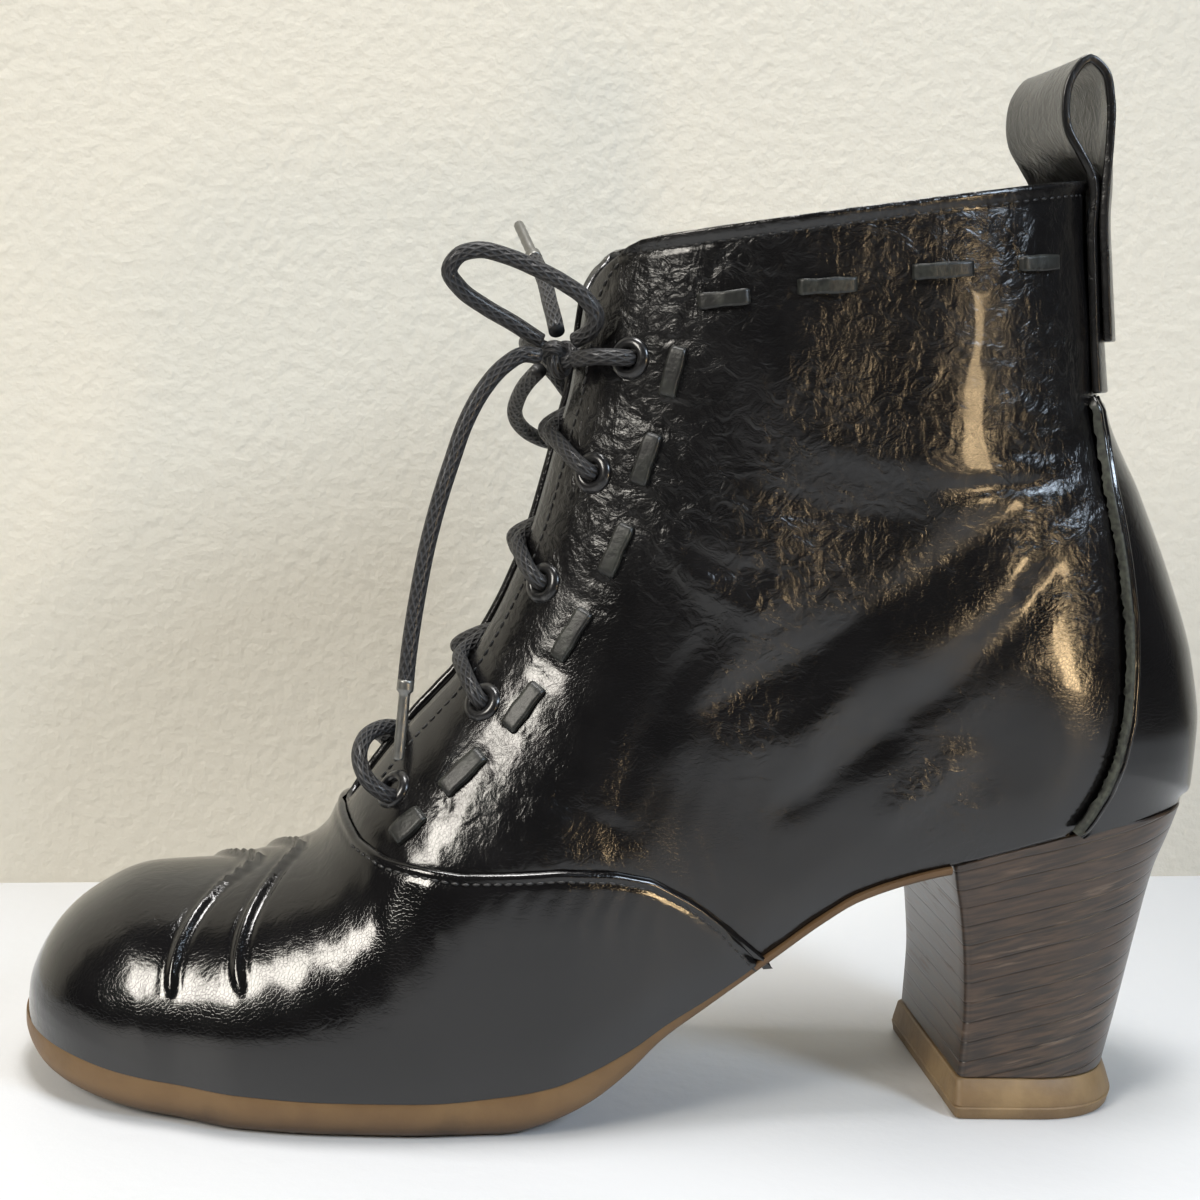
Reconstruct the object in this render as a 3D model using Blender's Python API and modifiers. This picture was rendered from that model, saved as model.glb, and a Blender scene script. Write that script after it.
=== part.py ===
"""Victorian lace-up ankle boot, left foot, on a stacked block heel.

The boot points its toe to -X and stands on z = 0.  The outer (lateral) side
is -Y and the inner (medial) side is +Y.  All tables are in millimetres.
"""

import bpy
import bmesh
import numpy as np
from math import cos, pi, sin
from mathutils import Vector

MM = 0.001

# Driving sizes
TOE_X = -132.7
WALL = 2.0
GAP = 0.3
FEATHER_GAP = 0.5
TRIM = 1.2
OVERLAY = 1.2
SEAM_RIB = 1.3
RIB_WIDTH = 2.2
HEEL_TOP_PIECE = 8.7
SOLE_MARGIN = 1.5
INSOLE_THICK = 2.2
THROAT_HALF_GAP = 7.0
COLLAR_CORNER = 12.0
LACE = 3.5
EYELET_RADIUS = 4.5
EYELET_HOLE = 2.1
EYELET_LIFT = 0.65
THONG_WIDTH = 3.8
THONG_THICK = 1.3
STRAP_HALF_WIDTH = 17.4
STRAP_THICK = 1.8
OUTER, INNER = -1, 1
SIDE_NAMES = {OUTER: "outer", INNER: "inner"}

# The last, seen from the side: each section runs from the ridge (toe, vamp,
# instep, shaft front) to its base (feather line, then up the back of the boot).
SECTION_COLUMNS = ("ridge_x", "ridge_z", "base_x", "base_z")
SECTIONS = [
    (-130.3, 17.2, -130.4, 13.6),
    (-129.9, 20.4, -129.6, 13.4),
    (-128.8, 23.8, -127.4, 13.1),
    (-126.1, 29.1, -123.6, 12.7),
    (-122.5, 33.6, -118.8, 12.2),
    (-116.9, 38.2, -113.4, 11.6),
    (-106.5, 43.2, -107.0, 11.0),
    (-90.6, 45.0, -101.0, 10.5),
    (-79.0, 47.8, -95.0, 10.2),
    (-69.0, 51.6, -84.0, 9.7),
    (-63.6, 56.2, -72.0, 9.4),
    (-60.4, 63.8, -58.0, 9.3),
    (-54.2, 73.8, -38.0, 9.5),
    (-46.6, 84.2, -16.0, 12.1),
    (-35.5, 97.6, 2.0, 19.9),
    (-27.8, 111.8, 23.0, 33.5),
    (-23.6, 122.6, 51.0, 52.9),
    (-21.2, 131.0, 85.0, 63.1),
    (-19.4, 138.4, 119.0, 69.9),
    (-18.2, 143.4, 129.0, 71.2),
    (-17.2, 148.0, 131.0, 74.6),
    (-16.4, 151.6, 131.0, 87.0),
    (-15.2, 156.4, 128.2, 102.6),
    (-14.4, 161.4, 121.6, 120.6),
    (-13.7, 166.8, 113.2, 138.8),
    (-13.1, 172.4, 103.4, 158.4),
    (-12.3, 178.8, 99.8, 180.0),
    (-11.2, 188.0, 96.2, 206.0),
]
TOE_ROW, THROAT_ROW, HEEL_ROW, COLLAR_ROW = 0, 11, 20, 27

# Half widths of the foot from the centreline, and the centreline's own swing
FOOT_COLUMNS = ("x", "outer", "inner", "centre_y")
FOOT = [
    (-132.0, 33.0, 33.0, 6.0),
    (-115.0, 34.0, 34.0, 5.2),
    (-95.0, 36.2, 37.4, 3.4),
    (-80.0, 39.2, 39.2, 1.6),
    (-62.0, 40.2, 40.0, 0.4),
    (-45.0, 40.2, 39.2, 0.0),
    (-30.0, 39.2, 36.2, 0.0),
    (-15.0, 38.0, 32.8, 0.0),
    (0.0, 35.4, 29.6, 0.0),
    (20.0, 31.8, 27.4, 0.0),
    (45.0, 29.4, 27.2, 0.0),
    (70.0, 28.4, 28.0, 0.0),
    (95.0, 28.8, 28.8, 0.0),
    (132.0, 29.4, 29.4, 0.0),
]

# Half widths of the shaft by height, and how far the front and back round off
SHAFT_COLUMNS = ("z", "half_width", "front_round", "back_round")
SHAFT = [
    (0.0, 31.0, 33.0, 42.0),
    (40.0, 31.0, 34.0, 42.0),
    (60.0, 30.8, 38.0, 43.0),
    (100.0, 30.4, 44.0, 44.0),
    (130.0, 30.2, 46.0, 45.0),
    (160.0, 31.6, 48.0, 46.0),
    (205.0, 34.0, 48.0, 46.0),
]

# The sole from the side: its top is the feather line, its bottom the ground,
# the arch and the waist up to the heel seat
SOLE_COLUMNS = ("x", "top_z", "bottom_z")
SOLE = [
    (-132.8, 13.3, 9.2),
    (-125.0, 12.6, 4.6),
    (-117.0, 11.8, 2.8),
    (-107.0, 10.7, 1.5),
    (-95.0, 9.9, 0.6),
    (-82.0, 9.4, 0.0),
    (-60.0, 9.0, 0.0),
    (-40.0, 9.1, 0.0),
    (-24.0, 10.4, 0.0),
    (-15.0, 12.0, 2.2),
    (-6.0, 15.4, 6.2),
    (2.0, 19.6, 12.4),
    (9.0, 24.4, 19.6),
    (18.4, 30.0, 26.6),
    (32.0, 39.4, 36.8),
    (44.0, 48.2, 45.8),
    (51.0, 52.5, 50.2),
    (65.0, 57.3, 55.1),
    (75.0, 59.7, 57.4),
    (85.0, 62.7, 60.0),
    (93.0, 65.2, 62.0),
    (111.0, 68.8, 65.0),
    (120.0, 69.9, 66.0),
    (132.0, 71.0, 67.0),
]
HEEL_BREAST_X = 71.6
HEEL_STATIONS = (77.0, 85.0, 93.0, 101.0, 109.0, 117.0, 125.0)
SOLE_EDGE_INSET = 5.0

HEEL_COLUMNS = ("rise", "back_x", "front_x", "half_width")
HEEL = [
    (0.0, 116.6, 77.8, 23.4),
    (0.25, 119.4, 78.0, 23.6),
    (0.5, 121.9, 77.0, 24.2),
    (0.75, 124.6, 74.9, 25.4),
    (0.9, 127.6, 73.0, 26.6),
    (1.0, 129.4, 71.9, 27.4),
]
TOP_PIECE_COLUMNS = ("z", "back_x", "front_x", "half_width")
TOP_PIECE = [
    (0.0, 118.4, 76.9, 25.6),
    (3.0, 118.8, 76.6, 26.0),
    (8.7, 116.8, 77.2, 24.0),
]

# Edge of the vamp, where it laps over the quarters, from throat to feather
VAMP_EDGE = [
    (-63.2, 74.0), (-62.2, 68.0), (-60.4, 63.6), (-56.6, 60.6), (-50.4, 59.0),
    (-35.3, 58.2), (-14.9, 59.4), (-3.6, 58.8), (5.0, 57.0), (14.7, 51.8),
    (22.0, 46.2),
]
# Front edge of the counter, on both sides, from the ankle notch to the seat
COUNTER_EDGE = [
    (95.8, 158.4), (97.6, 151.2), (99.2, 140.7), (101.2, 132.4), (102.9, 124.0),
    (104.5, 113.5), (105.1, 103.0), (105.0, 92.3), (103.6, 83.6), (101.5, 76.9),
    (98.6, 71.2), (95.6, 67.4),
]

EYELETS = [(-3.2, 164.9), (-9.7, 140.7), (-19.1, 116.6), (-31.3, 90.8), (-49.9, 71.2)]

THONGS = [
    ((9.1, 176.8), (19.5, 178.3)),
    ((28.5, 180.4), (40.8, 181.4)),
    ((51.6, 184.2), (64.3, 185.5)),
    ((74.3, 186.8), (84.4, 187.8)),
    ((6.3, 167.8), (4.2, 157.1)),
    ((2.2, 149.8), (-0.8, 138.7)),
    ((-2.5, 130.7), (-6.7, 119.4)),
    ((-10.2, 112.2), (-16.2, 101.2)),
    ((-19.4, 95.8), (-26.2, 86.2)),
    ((-31.1, 81.3), (-39.3, 72.9)),
    ((-43.4, 68.6), (-49.4, 62.4)),
]

# The pull strap from its stitched end up, over the loop and down behind;
# wrap is how much of the shaft's rounding its width keeps
STRAP_COLUMNS = ("edge_x", "z", "wrap")
STRAP = [
    (95.6, 161.0, 1.0),
    (94.2, 172.0, 1.0),
    (93.0, 183.0, 1.0),
    (91.6, 194.0, 1.0),
    (89.6, 206.8, 1.0),
    (89.9, 211.0, 0.55),
    (87.1, 215.6, 0.2),
    (86.2, 220.5, 0.1),
    (87.2, 226.4, 0.1),
    (90.4, 230.0, 0.1),
    (93.8, 227.8, 0.2),
    (95.7, 222.0, 0.25),
    (96.2, 214.0, 0.4),
    (96.0, 206.0, 0.85),
    (95.8, 198.0, 1.0),
    (96.6, 188.0, 1.0),
    (98.2, 172.0, 1.0),
]
STRAP_ON_SHAFT, STRAP_BEHIND = 5, 3
STRAP_SEAT = 0.7
STRAP_GAP = 0.45

# Folds stitched across the vamp, from the ridge down each side
TUCK_COLUMNS = ("x", "below_ridge")
TUCKS = [
    [(-79.4, 0.0), (-83.5, 0.4), (-88.0, 1.7), (-91.6, 4.4), (-94.2, 8.2), (-95.4, 12.6), (-95.2, 17.0)],
    [(-69.6, 0.0), (-73.0, 0.5), (-76.5, 2.2), (-79.3, 5.2), (-80.9, 9.2), (-81.2, 13.4), (-79.8, 17.6)],
]
TUCK_HEIGHT = 2.4

# Lace between the top eyelets and the bow, chosen by hand
TO_KNOT = {
    OUTER: [(-5.4, -24.6, 165.0), (-9.8, -22.4, 165.0), (-14.2, -17.2, 164.3)],
    INNER: [(-5.6, 24.6, 165.0), (-12.0, 18.4, 165.2), (-17.6, 10.0, 164.6), (-18.6, 1.0, 163.8),
            (-17.4, -7.3, 163.4)],
}

# Free lace, chosen by hand: near (outer) and far (inner) loops and ends
KNOT = (-17.0, -12.5, 164.4)
KNOT_SIZE = (4.4, 4.4, 4.6)
LOOP_OUTER = [
    (-14.1, -15.4, 168.2), (-11.4, -18.4, 170.2), (-10.4, -20.2, 173.0), (-12.8, -20.6, 176.6),
    (-17.2, -20.2, 179.6), (-23.4, -19.4, 182.6), (-29.6, -18.8, 184.9), (-35.4, -18.5, 185.9),
    (-39.4, -18.2, 184.6), (-41.2, -17.6, 181.4), (-39.0, -16.8, 178.2), (-33.4, -15.4, 174.4),
    (-27.2, -14.0, 171.2), (-21.3, -12.8, 167.7),
]
END_OUTER = [
    (-21.6, -15.3, 164.6), (-25.2, -16.4, 164.8), (-29.0, -17.2, 162.4), (-33.2, -18.2, 157.4),
    (-36.8, -19.2, 150.4), (-39.4, -20.0, 142.4), (-41.9, -21.0, 133.8), (-43.9, -22.0, 125.4),
    (-45.4, -23.0, 117.0), (-46.6, -24.0, 108.6), (-47.4, -25.0, 101.4), (-47.9, -25.6, 94.6),
]
LOOP_INNER = [
    (-21.2, -10.2, 161.6), (-23.4, -4.0, 158.4), (-24.6, 3.0, 155.0), (-24.8, 9.6, 151.6),
    (-23.2, 15.8, 148.6), (-19.8, 21.0, 146.0), (-15.4, 25.2, 144.4), (-11.0, 28.6, 144.4),
    (-8.2, 30.0, 148.0), (-9.4, 28.8, 153.0), (-13.0, 25.4, 158.0), (-17.6, 19.2, 162.6),
    (-21.8, 11.0, 165.8), (-23.2, 2.6, 167.4), (-22.6, -4.2, 167.4), (-20.3, -8.6, 166.2),
]
END_INNER = [
    (-17.8, -11.2, 169.9), (-18.2, -8.2, 172.4), (-18.8, -2.6, 175.9), (-19.6, 5.4, 181.0),
    (-21.6, 15.4, 186.8),
]
AGLET_LENGTH = 15.0
AGLET_RADIUS = 1.15

COLUMNS = 10
DOME_POWER = 2.15
TONGUE_HALF_WIDTH = 19.0
TONGUE_DEPTH = 7.3
TONGUE_FIRST_ROW = 9.6


def column(table, names, name):
    """One named column of a table as an array."""
    return np.array([row[names.index(name)] for row in table], dtype=float)


def smooth(xs, ys, x):
    """A curve through (xs, ys) that never overshoots, read at x."""
    step = np.diff(xs)
    slope = np.diff(ys) / step
    tangent = np.empty(len(ys))
    tangent[0], tangent[-1] = slope[0], slope[-1]
    before, after = slope[:-1], slope[1:]
    total = np.where(before * after > 0, before + after, 1.0)
    tangent[1:-1] = np.where(before * after > 0, 2 * before * after / total, 0.0)
    i = np.clip(np.searchsorted(xs, x, side="right") - 1, 0, len(step) - 1)
    t = np.clip((x - xs[i]) / step[i], 0.0, 1.0)
    near = (1 + 2 * t) * (1 - t) ** 2 * ys[i] + t * (1 - t) ** 2 * step[i] * tangent[i]
    far = t * t * (3 - 2 * t) * ys[i + 1] + t * t * (t - 1) * step[i] * tangent[i + 1]
    return near + far


def from_table(table, names, key, name, x):
    return smooth(column(table, names, key), column(table, names, name), x)


def seat_z(x):
    """Top of the sole, and of the heel seat, at x."""
    return from_table(SOLE, SOLE_COLUMNS, "x", "top_z", np.atleast_1d(float(x)))[0]


def base_heights():
    """Base heights: a little under the feather cut first, then up the back."""
    listed = column(SECTIONS, SECTION_COLUMNS, "base_z")
    places = column(SECTIONS, SECTION_COLUMNS, "base_x")
    on_sole = [seat_z(x) + FEATHER_GAP - TRIM for x in places[:HEEL_ROW]]
    return np.concatenate([on_sole, listed[HEEL_ROW:]])


def section_point(row, end):
    """Ridge or base point (x, z) of the section at a fractional row."""
    rows = np.arange(len(SECTIONS), dtype=float)
    heights = BASE_Z if end == "base" else column(SECTIONS, SECTION_COLUMNS, "ridge_z")
    x = smooth(rows, column(SECTIONS, SECTION_COLUMNS, end + "_x"), row)
    return x, smooth(rows, heights, row)


def polyline(first, last, end):
    rows = np.linspace(first, last, 20 * (last - first) + 1)
    x, z = section_point(rows, end)
    return np.stack([x, z], axis=1)


BASE_Z = base_heights()
TOE_WALL = np.array([[SECTIONS[0][2], BASE_Z[0]]])
RIDGE_LINE = np.concatenate([TOE_WALL, polyline(TOE_ROW, COLLAR_ROW, "ridge")])
BACK_LINE = polyline(HEEL_ROW - 1, COLLAR_ROW, "base")


def distance(points, line):
    """Distance in the side view from points (n, 2) to a polyline."""
    a, b = line[:-1], line[1:]
    along = b - a
    rel = points[:, None, :] - a[None]
    t = np.clip((rel * along).sum(-1) / (along * along).sum(-1), 0.0, 1.0)
    gap = rel - t[..., None] * along
    return np.sqrt((gap * gap).sum(-1)).min(axis=1)


def dome(s, power=DOME_POWER):
    s = np.clip(s, 0.0, 1.0)
    return (1.0 - (1.0 - s) ** power) ** (1.0 / power)


def ease(t):
    t = np.clip(t, 0.0, 1.0)
    return t * t * (3 - 2 * t)


def half_width(x, z, side):
    """Half width of the upper's outer face at side-view points, per side."""
    x, z = np.atleast_1d(x).astype(float), np.atleast_1d(z).astype(float)
    foot = from_table(FOOT, FOOT_COLUMNS, "x", SIDE_NAMES[side], x)
    shaft = from_table(SHAFT, SHAFT_COLUMNS, "z", "half_width", z)
    front = from_table(SHAFT, SHAFT_COLUMNS, "z", "front_round", z)
    back = from_table(SHAFT, SHAFT_COLUMNS, "z", "back_round", z)
    widest = foot + (shaft - foot) * ease((z - 45.0) / 60.0)
    points = np.stack([x, z], axis=1)
    rise = z - from_table(SOLE, SOLE_COLUMNS, "x", "top_z", x)
    tuck = 1.0 - 0.05 * np.clip(1.0 - rise / 14.0, 0.0, 1.0) ** 2
    round_front = dome(distance(points, RIDGE_LINE) / front)
    round_back = dome(distance(points, BACK_LINE) / back)
    return widest * tuck * round_front * round_back


def centre_y(x):
    return from_table(FOOT, FOOT_COLUMNS, "x", "centre_y", x)


def skin(x, z, side):
    """Point of the upper's outer face, in millimetres."""
    y = centre_y(np.array([x]))[0] + side * half_width(x, z, side)[0]
    return Vector((x, y, z))


def skin_normal(x, z, side):
    step = min(0.6, 0.45 * distance(np.array([[x, z]]), RIDGE_LINE)[0])
    along_x = skin(x + step, z, side) - skin(x - step, z, side)
    along_z = skin(x, z + step, side) - skin(x, z - step, side)
    normal = along_x.cross(along_z).normalized()
    return normal if normal.y * side > 0 else -normal


def above(x, z, side, lift):
    return skin(x, z, side) + skin_normal(x, z, side) * lift


def throat_start(row, side):
    """How far along its section, from the ridge, a row of leather starts."""
    ridge = np.array(section_point(row, "ridge"))
    base = np.array(section_point(row, "base"))
    if row <= THROAT_ROW:
        return 0.0
    opening = THROAT_HALF_GAP * np.sqrt(1.0 - np.clip(1.0 - (row - THROAT_ROW) / 0.8, 0.0, 1.0) ** 2)
    tries = np.linspace(0.0, 0.3, 600)
    points = ridge + (base - ridge) * tries[:, None]
    widths = half_width(points[:, 0], points[:, 1], side)
    start = tries[np.argmax(widths >= opening)]
    collar = np.array(section_point(COLLAR_ROW, "ridge"))
    below = np.hypot(*(collar - ridge))
    corner = COLLAR_CORNER - np.sqrt(COLLAR_CORNER ** 2 - max(COLLAR_CORNER - below, 0.0) ** 2)
    return start + corner / np.hypot(*(base - ridge))


def row_values():
    """Fractional rows: even ones, closer at the toe, vamp tucks and heel corner."""
    rows = np.concatenate([
        np.linspace(TOE_ROW, 5, 7),
        np.linspace(5, 10, 7)[1:],
        np.linspace(10, 13, 5)[1:],
        (14.0, 14.6, 15.2, 15.7, 16.2, 16.6, 17.0),
        (17.45, 17.8, 18.15, 18.5, 19.0, 19.6, 20.3, 21.0),
        np.linspace(21, 26, 6)[1:],
        (26.4, 26.7, 26.9, COLLAR_ROW),
    ])
    return rows


def side_grid(side, columns):
    """Side-view points and skin points of one side, a list per section."""
    grid = []
    for row in row_values():
        ridge = np.array(section_point(row, "ridge"))
        base = np.array(section_point(row, "base"))
        start = throat_start(row, side)
        spread = (1 - np.cos(pi * np.arange(columns + 1) / columns)) / 2
        along = start + (1 - start) * spread
        points = ridge + (base - ridge) * along[:, None]
        width = half_width(points[:, 0], points[:, 1], side)
        if row <= THROAT_ROW:
            width[0] = 0.0
        if row >= HEEL_ROW or row == TOE_ROW:
            width[-1] = 0.0
        y = centre_y(points[:, 0]) + side * width
        grid.append([(p[0], v, p[1]) for p, v in zip(points, y)])
    return grid


def collection(name):
    made = bpy.data.collections.new(name)
    bpy.context.scene.collection.children.link(made)
    return made


def material(name, colour, roughness, metallic=0.0):
    made = bpy.data.materials.new(name)
    made.use_nodes = True
    shader = made.node_tree.nodes["Principled BSDF"]
    shader.inputs["Base Color"].default_value = (*colour, 1.0)
    shader.inputs["Roughness"].default_value = roughness
    shader.inputs["Metallic"].default_value = metallic
    return made


def clear_scene():
    for old in list(bpy.data.objects):
        bpy.data.objects.remove(old, do_unlink=True)


def add_object(name, mesh, finish, group):
    made = bpy.data.objects.new(name, mesh)
    made.data.materials.append(finish)
    group.objects.link(made)
    return made


def mesh_from(name, points, faces):
    """A mesh from points in millimetres, welded, with faces made consistent."""
    mesh = bpy.data.meshes.new(name)
    mesh.from_pydata([tuple(c * MM for c in p) for p in points], [], faces)
    shape = bmesh.new()
    shape.from_mesh(mesh)
    bmesh.ops.remove_doubles(shape, verts=shape.verts, dist=0.00002)
    bmesh.ops.dissolve_degenerate(shape, edges=shape.edges, dist=0.00002)
    bmesh.ops.recalc_face_normals(shape, faces=shape.faces)
    shape.to_mesh(mesh)
    shape.free()
    return mesh


def sheet_faces(rows, columns, start=0):
    """Quads of a rectangular net of points."""
    faces = []
    for i in range(rows - 1):
        for j in range(columns - 1):
            a = start + i * columns + j
            faces.append((a, a + 1, a + columns + 1, a + columns))
    return faces


def loft(name, rings, finish, group):
    """A closed solid through rings of equal point counts, capped at both ends."""
    size = len(rings[0])
    points = [p for ring in rings for p in ring]
    faces = []
    for i in range(len(rings) - 1):
        for j in range(size):
            a, b = i * size + j, i * size + (j + 1) % size
            faces.append((a, b, b + size, a + size))
    faces.append(tuple(range(size)))
    faces.append(tuple(range((len(rings) - 1) * size, len(rings) * size)))
    return add_object(name, mesh_from(name, points, faces), finish, group)


def thicken(made, thickness, offset):
    """Wall of a real thickness in flat faces; offset -1 inwards, 1 outwards."""
    wall = made.modifiers.new("wall", "SOLIDIFY")
    wall.thickness = thickness * MM
    wall.offset = offset
    wall.use_even_offset = True
    wall.use_quality_normals = True
    flat = made.modifiers.new("flat_faces", "TRIANGULATE")
    flat.quad_method = "FIXED"


def cut(made, cutter, operation, solver="EXACT"):
    step = made.modifiers.new(operation.lower(), "BOOLEAN")
    step.operation = operation
    step.object = cutter
    step.solver = solver


def hide_cutter(made):
    made.hide_render = True
    made.display_type = "WIRE"


def outer_form(name, lift, finish, group):
    """Both sides of the last's surface, lifted off the skin along its normals."""
    points, faces = [], []
    for side in (OUTER, INNER):
        grid = side_grid(side, COLUMNS)
        faces += sheet_faces(len(grid), COLUMNS + 1, len(points))
        points += [p for row in grid for p in row]
    mesh = mesh_from(name, points, faces)
    made = add_object(name, mesh, finish, group)
    shape = bmesh.new()
    shape.from_mesh(mesh)
    shape.normal_update()
    widest = max(shape.faces, key=lambda f: abs(f.calc_center_median().y))
    if widest.normal.y * widest.calc_center_median().y < 0:
        bmesh.ops.reverse_faces(shape, faces=shape.faces)
        shape.normal_update()
    moved = [v.co + v.normal * lift * MM for v in shape.verts]
    for vert, place in zip(shape.verts, moved):
        vert.co = place
    bmesh.ops.triangulate(shape, faces=shape.faces, quad_method="FIXED")
    shape.to_mesh(mesh)
    shape.free()
    return made


def feather_edge(first, last):
    """Side-view points just above the sole, from one x to another."""
    low, high = min(first, last), max(first, last)
    between = [x for x in (*sole_stations(), *HEEL_STATIONS) if low < x < high]
    stations = sorted([first, *between, last], reverse=last < first)
    return [(x, seat_z(x) + FEATHER_GAP) for x in stations]


def prism(name, outline, half_depth, group, finish):
    """A cutter: a side-view outline carried across the boot's width."""
    rings = [[(x, y, z) for x, z in outline] for y in (-half_depth, half_depth)]
    made = loft(name, rings, finish, group)
    hide_cutter(made)
    return made


def upper(finish, group, cutters):
    """One hollow wall from toe to collar, open at throat, collar and feather."""
    made = outer_form("upper", 0.0, finish, group)
    thicken(made, WALL, -1)
    outline = feather_edge(-140.0, 140.0) + [(140.0, 240.0), (-140.0, 240.0)]
    cut(made, prism("feather_cut", outline, 80.0, cutters, finish), "INTERSECT", "MANIFOLD")
    for side in (OUTER, INNER):
        for i, (x, z) in enumerate(EYELETS):
            centre, axis = skin(x, z, side), skin_normal(x, z, side)
            shape = bmesh.new()
            bmesh.ops.create_cone(
                shape, cap_ends=True, segments=8,
                radius1=3.0 * MM, radius2=3.0 * MM, depth=14.0 * MM,
            )
            mesh = bpy.data.meshes.new("eyelet_cut")
            shape.to_mesh(mesh)
            shape.free()
            tool = add_object(f"eyelet_cut_{SIDE_NAMES[side]}_{i + 1}", mesh, finish, cutters)
            tool.location = centre * MM
            tool.rotation_euler = axis.to_track_quat("Z", "Y").to_euler()
            hide_cutter(tool)
            cut(made, tool, "DIFFERENCE")
    return made


def vamp(finish, group, cutters):
    """Toe and vamp in one piece, lapped over the quarters, with two tucks."""
    made = outer_form("vamp", GAP, finish, group)
    outline = VAMP_EDGE + feather_edge(30.0, -140.0) + [(-150.0, 14.0), (-150.0, 74.0)]
    thicken(made, OVERLAY, 1)
    cut(made, prism("vamp_cut", outline, 80.0, cutters, finish), "INTERSECT", "MANIFOLD")
    for i, path in enumerate(TUCKS):
        cut(made, tuck_ridge(f"tuck_cut_{i + 1}", path, finish, cutters), "UNION", "MANIFOLD")
    return made


def ridge_z(x):
    """Height of the ridge over the foot at x."""
    line = RIDGE_LINE[:, 0] < -58.0
    return np.interp(x, RIDGE_LINE[line, 0], RIDGE_LINE[line, 1])


def tuck_ridge(name, path, finish, cutters):
    """A stitched fold across the vamp: a rounded ridge that fades at its ends."""
    crest_x = path[0][0]
    lift = GAP + OVERLAY
    crest = Vector((crest_x, centre_y(np.array([crest_x]))[0], ridge_z(crest_x) + lift - 0.1))
    slope = (ridge_z(crest_x + 2.0) - ridge_z(crest_x - 2.0)) / 4.0
    middle = (crest, Vector((-slope, 0.0, 1.0)).normalized(), 0.0)
    sides = []
    for side in (OUTER, INNER):
        reach = len(path) - 1
        sides.append([
            (above(x, ridge_z(x) - drop, side, lift), skin_normal(x, ridge_z(x) - drop, side), (i + 1) / reach)
            for i, (x, drop) in enumerate(path[1:])
        ])
    stops = sides[0][::-1] + [middle] + sides[1]
    rings = []
    for i, (point, normal, along) in enumerate(stops):
        ahead = stops[min(i + 1, len(stops) - 1)][0] - stops[max(i - 1, 0)][0]
        across = ahead.cross(normal).normalized()
        height = TUCK_HEIGHT * np.sqrt(max(1.02 - along ** 2, 0.0))
        profile = ((-2.6, -0.8), (-1.7, 0.6 * height), (0.0, height), (1.6, 0.5 * height), (2.4, -0.8))
        rings.append([tuple(point + across * a + normal * h) for a, h in profile])
    made = loft(name, rings, finish, cutters)
    hide_cutter(made)
    return made


def heel_counter(finish, group, cutters):
    """Back panel from the ankle notch to the seat, with its seam as a raised rib."""
    made = outer_form("heel_counter", GAP, finish, group)
    outline = COUNTER_EDGE + feather_edge(94.6, 140.0) + [(150.0, 72.0), (150.0, 158.4)]
    thicken(made, OVERLAY, 1)
    cut(made, prism("counter_cut", outline, 80.0, cutters, finish), "INTERSECT", "MANIFOLD")
    cut(made, seam_rib(finish, cutters), "UNION", "MANIFOLD")
    return made


def seam_rib(finish, cutters):
    """Raw edges of the two leathers, closed together and standing up."""
    made = outer_form("seam_rib", GAP + 0.3, finish, cutters)
    front = [(x + 0.3, z) for x, z in COUNTER_EDGE]
    back = [(x + 0.3 + RIB_WIDTH, z) for x, z in COUNTER_EDGE]
    band = front[:-1] + back[-2::-1]
    thicken(made, OVERLAY + SEAM_RIB - 0.3, 1)
    cut(made, prism("rib_cut", band, 80.0, cutters, finish), "INTERSECT", "MANIFOLD")
    hide_cutter(made)
    return made


def plan_half_width(x, side, margin):
    """Half width of the sole's top edge."""
    widest = from_table(FOOT, FOOT_COLUMNS, "x", SIDE_NAMES[side], x) * 0.95
    return (widest + margin) * dome((x - TOE_X) / 34.0, 2.0)


def sole_stations():
    """Places along the outsole, close together at the rounded toe."""
    first, last = TOE_X + 0.25, HEEL_BREAST_X - 0.6
    return first + (last - first) * np.linspace(0.0, 1.0, 30) ** 1.4


def outsole(finish, group):
    """Gum rubber sole with a rounded edge, toe spring, ball flat and arch."""
    rings = []
    for x in sole_stations():
        at = np.array([x])
        top = from_table(SOLE, SOLE_COLUMNS, "x", "top_z", at)[0]
        bottom = from_table(SOLE, SOLE_COLUMNS, "x", "bottom_z", at)[0]
        middle = centre_y(at)[0]
        left = middle - plan_half_width(at, OUTER, SOLE_MARGIN)[0]
        right = middle + plan_half_width(at, INNER, SOLE_MARGIN)[0]
        inset = min(SOLE_EDGE_INSET, 0.22 * (right - left), 1.6 * (top - bottom))
        shoulder = top - 0.5 * (top - bottom)
        under = bottom + 0.12 * (top - bottom)
        rings.append([
            (x, left + 0.3, top), (x, left, shoulder), (x, left + 0.4 * inset, under),
            (x, left + inset, bottom), (x, right - inset, bottom),
            (x, right - 0.4 * inset, under), (x, right, shoulder), (x, right - 0.3, top),
        ])
    return loft("outsole", rings, finish, group)


def heel_ring(back_x, front_x, half, height):
    """Plan of the heel: straight breast, straight sides, round back."""
    ring = []
    depth = back_x - front_x
    for angle in np.linspace(-pi / 2, pi / 2, 11):
        x = front_x + depth * (0.42 + 0.58 * abs(cos(angle)) ** 0.85)
        y = half * np.sign(sin(angle)) * abs(sin(angle)) ** 0.8
        ring.append((x, y, height(x)))
    ring.append((front_x + 1.5, half, height(front_x + 1.5)))
    ring.append((front_x, half - 1.5, height(front_x)))
    ring.append((front_x, 0.0, height(front_x)))
    ring.append((front_x, -half + 1.5, height(front_x)))
    ring.append((front_x + 1.5, -half, height(front_x + 1.5)))
    return ring


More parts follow.
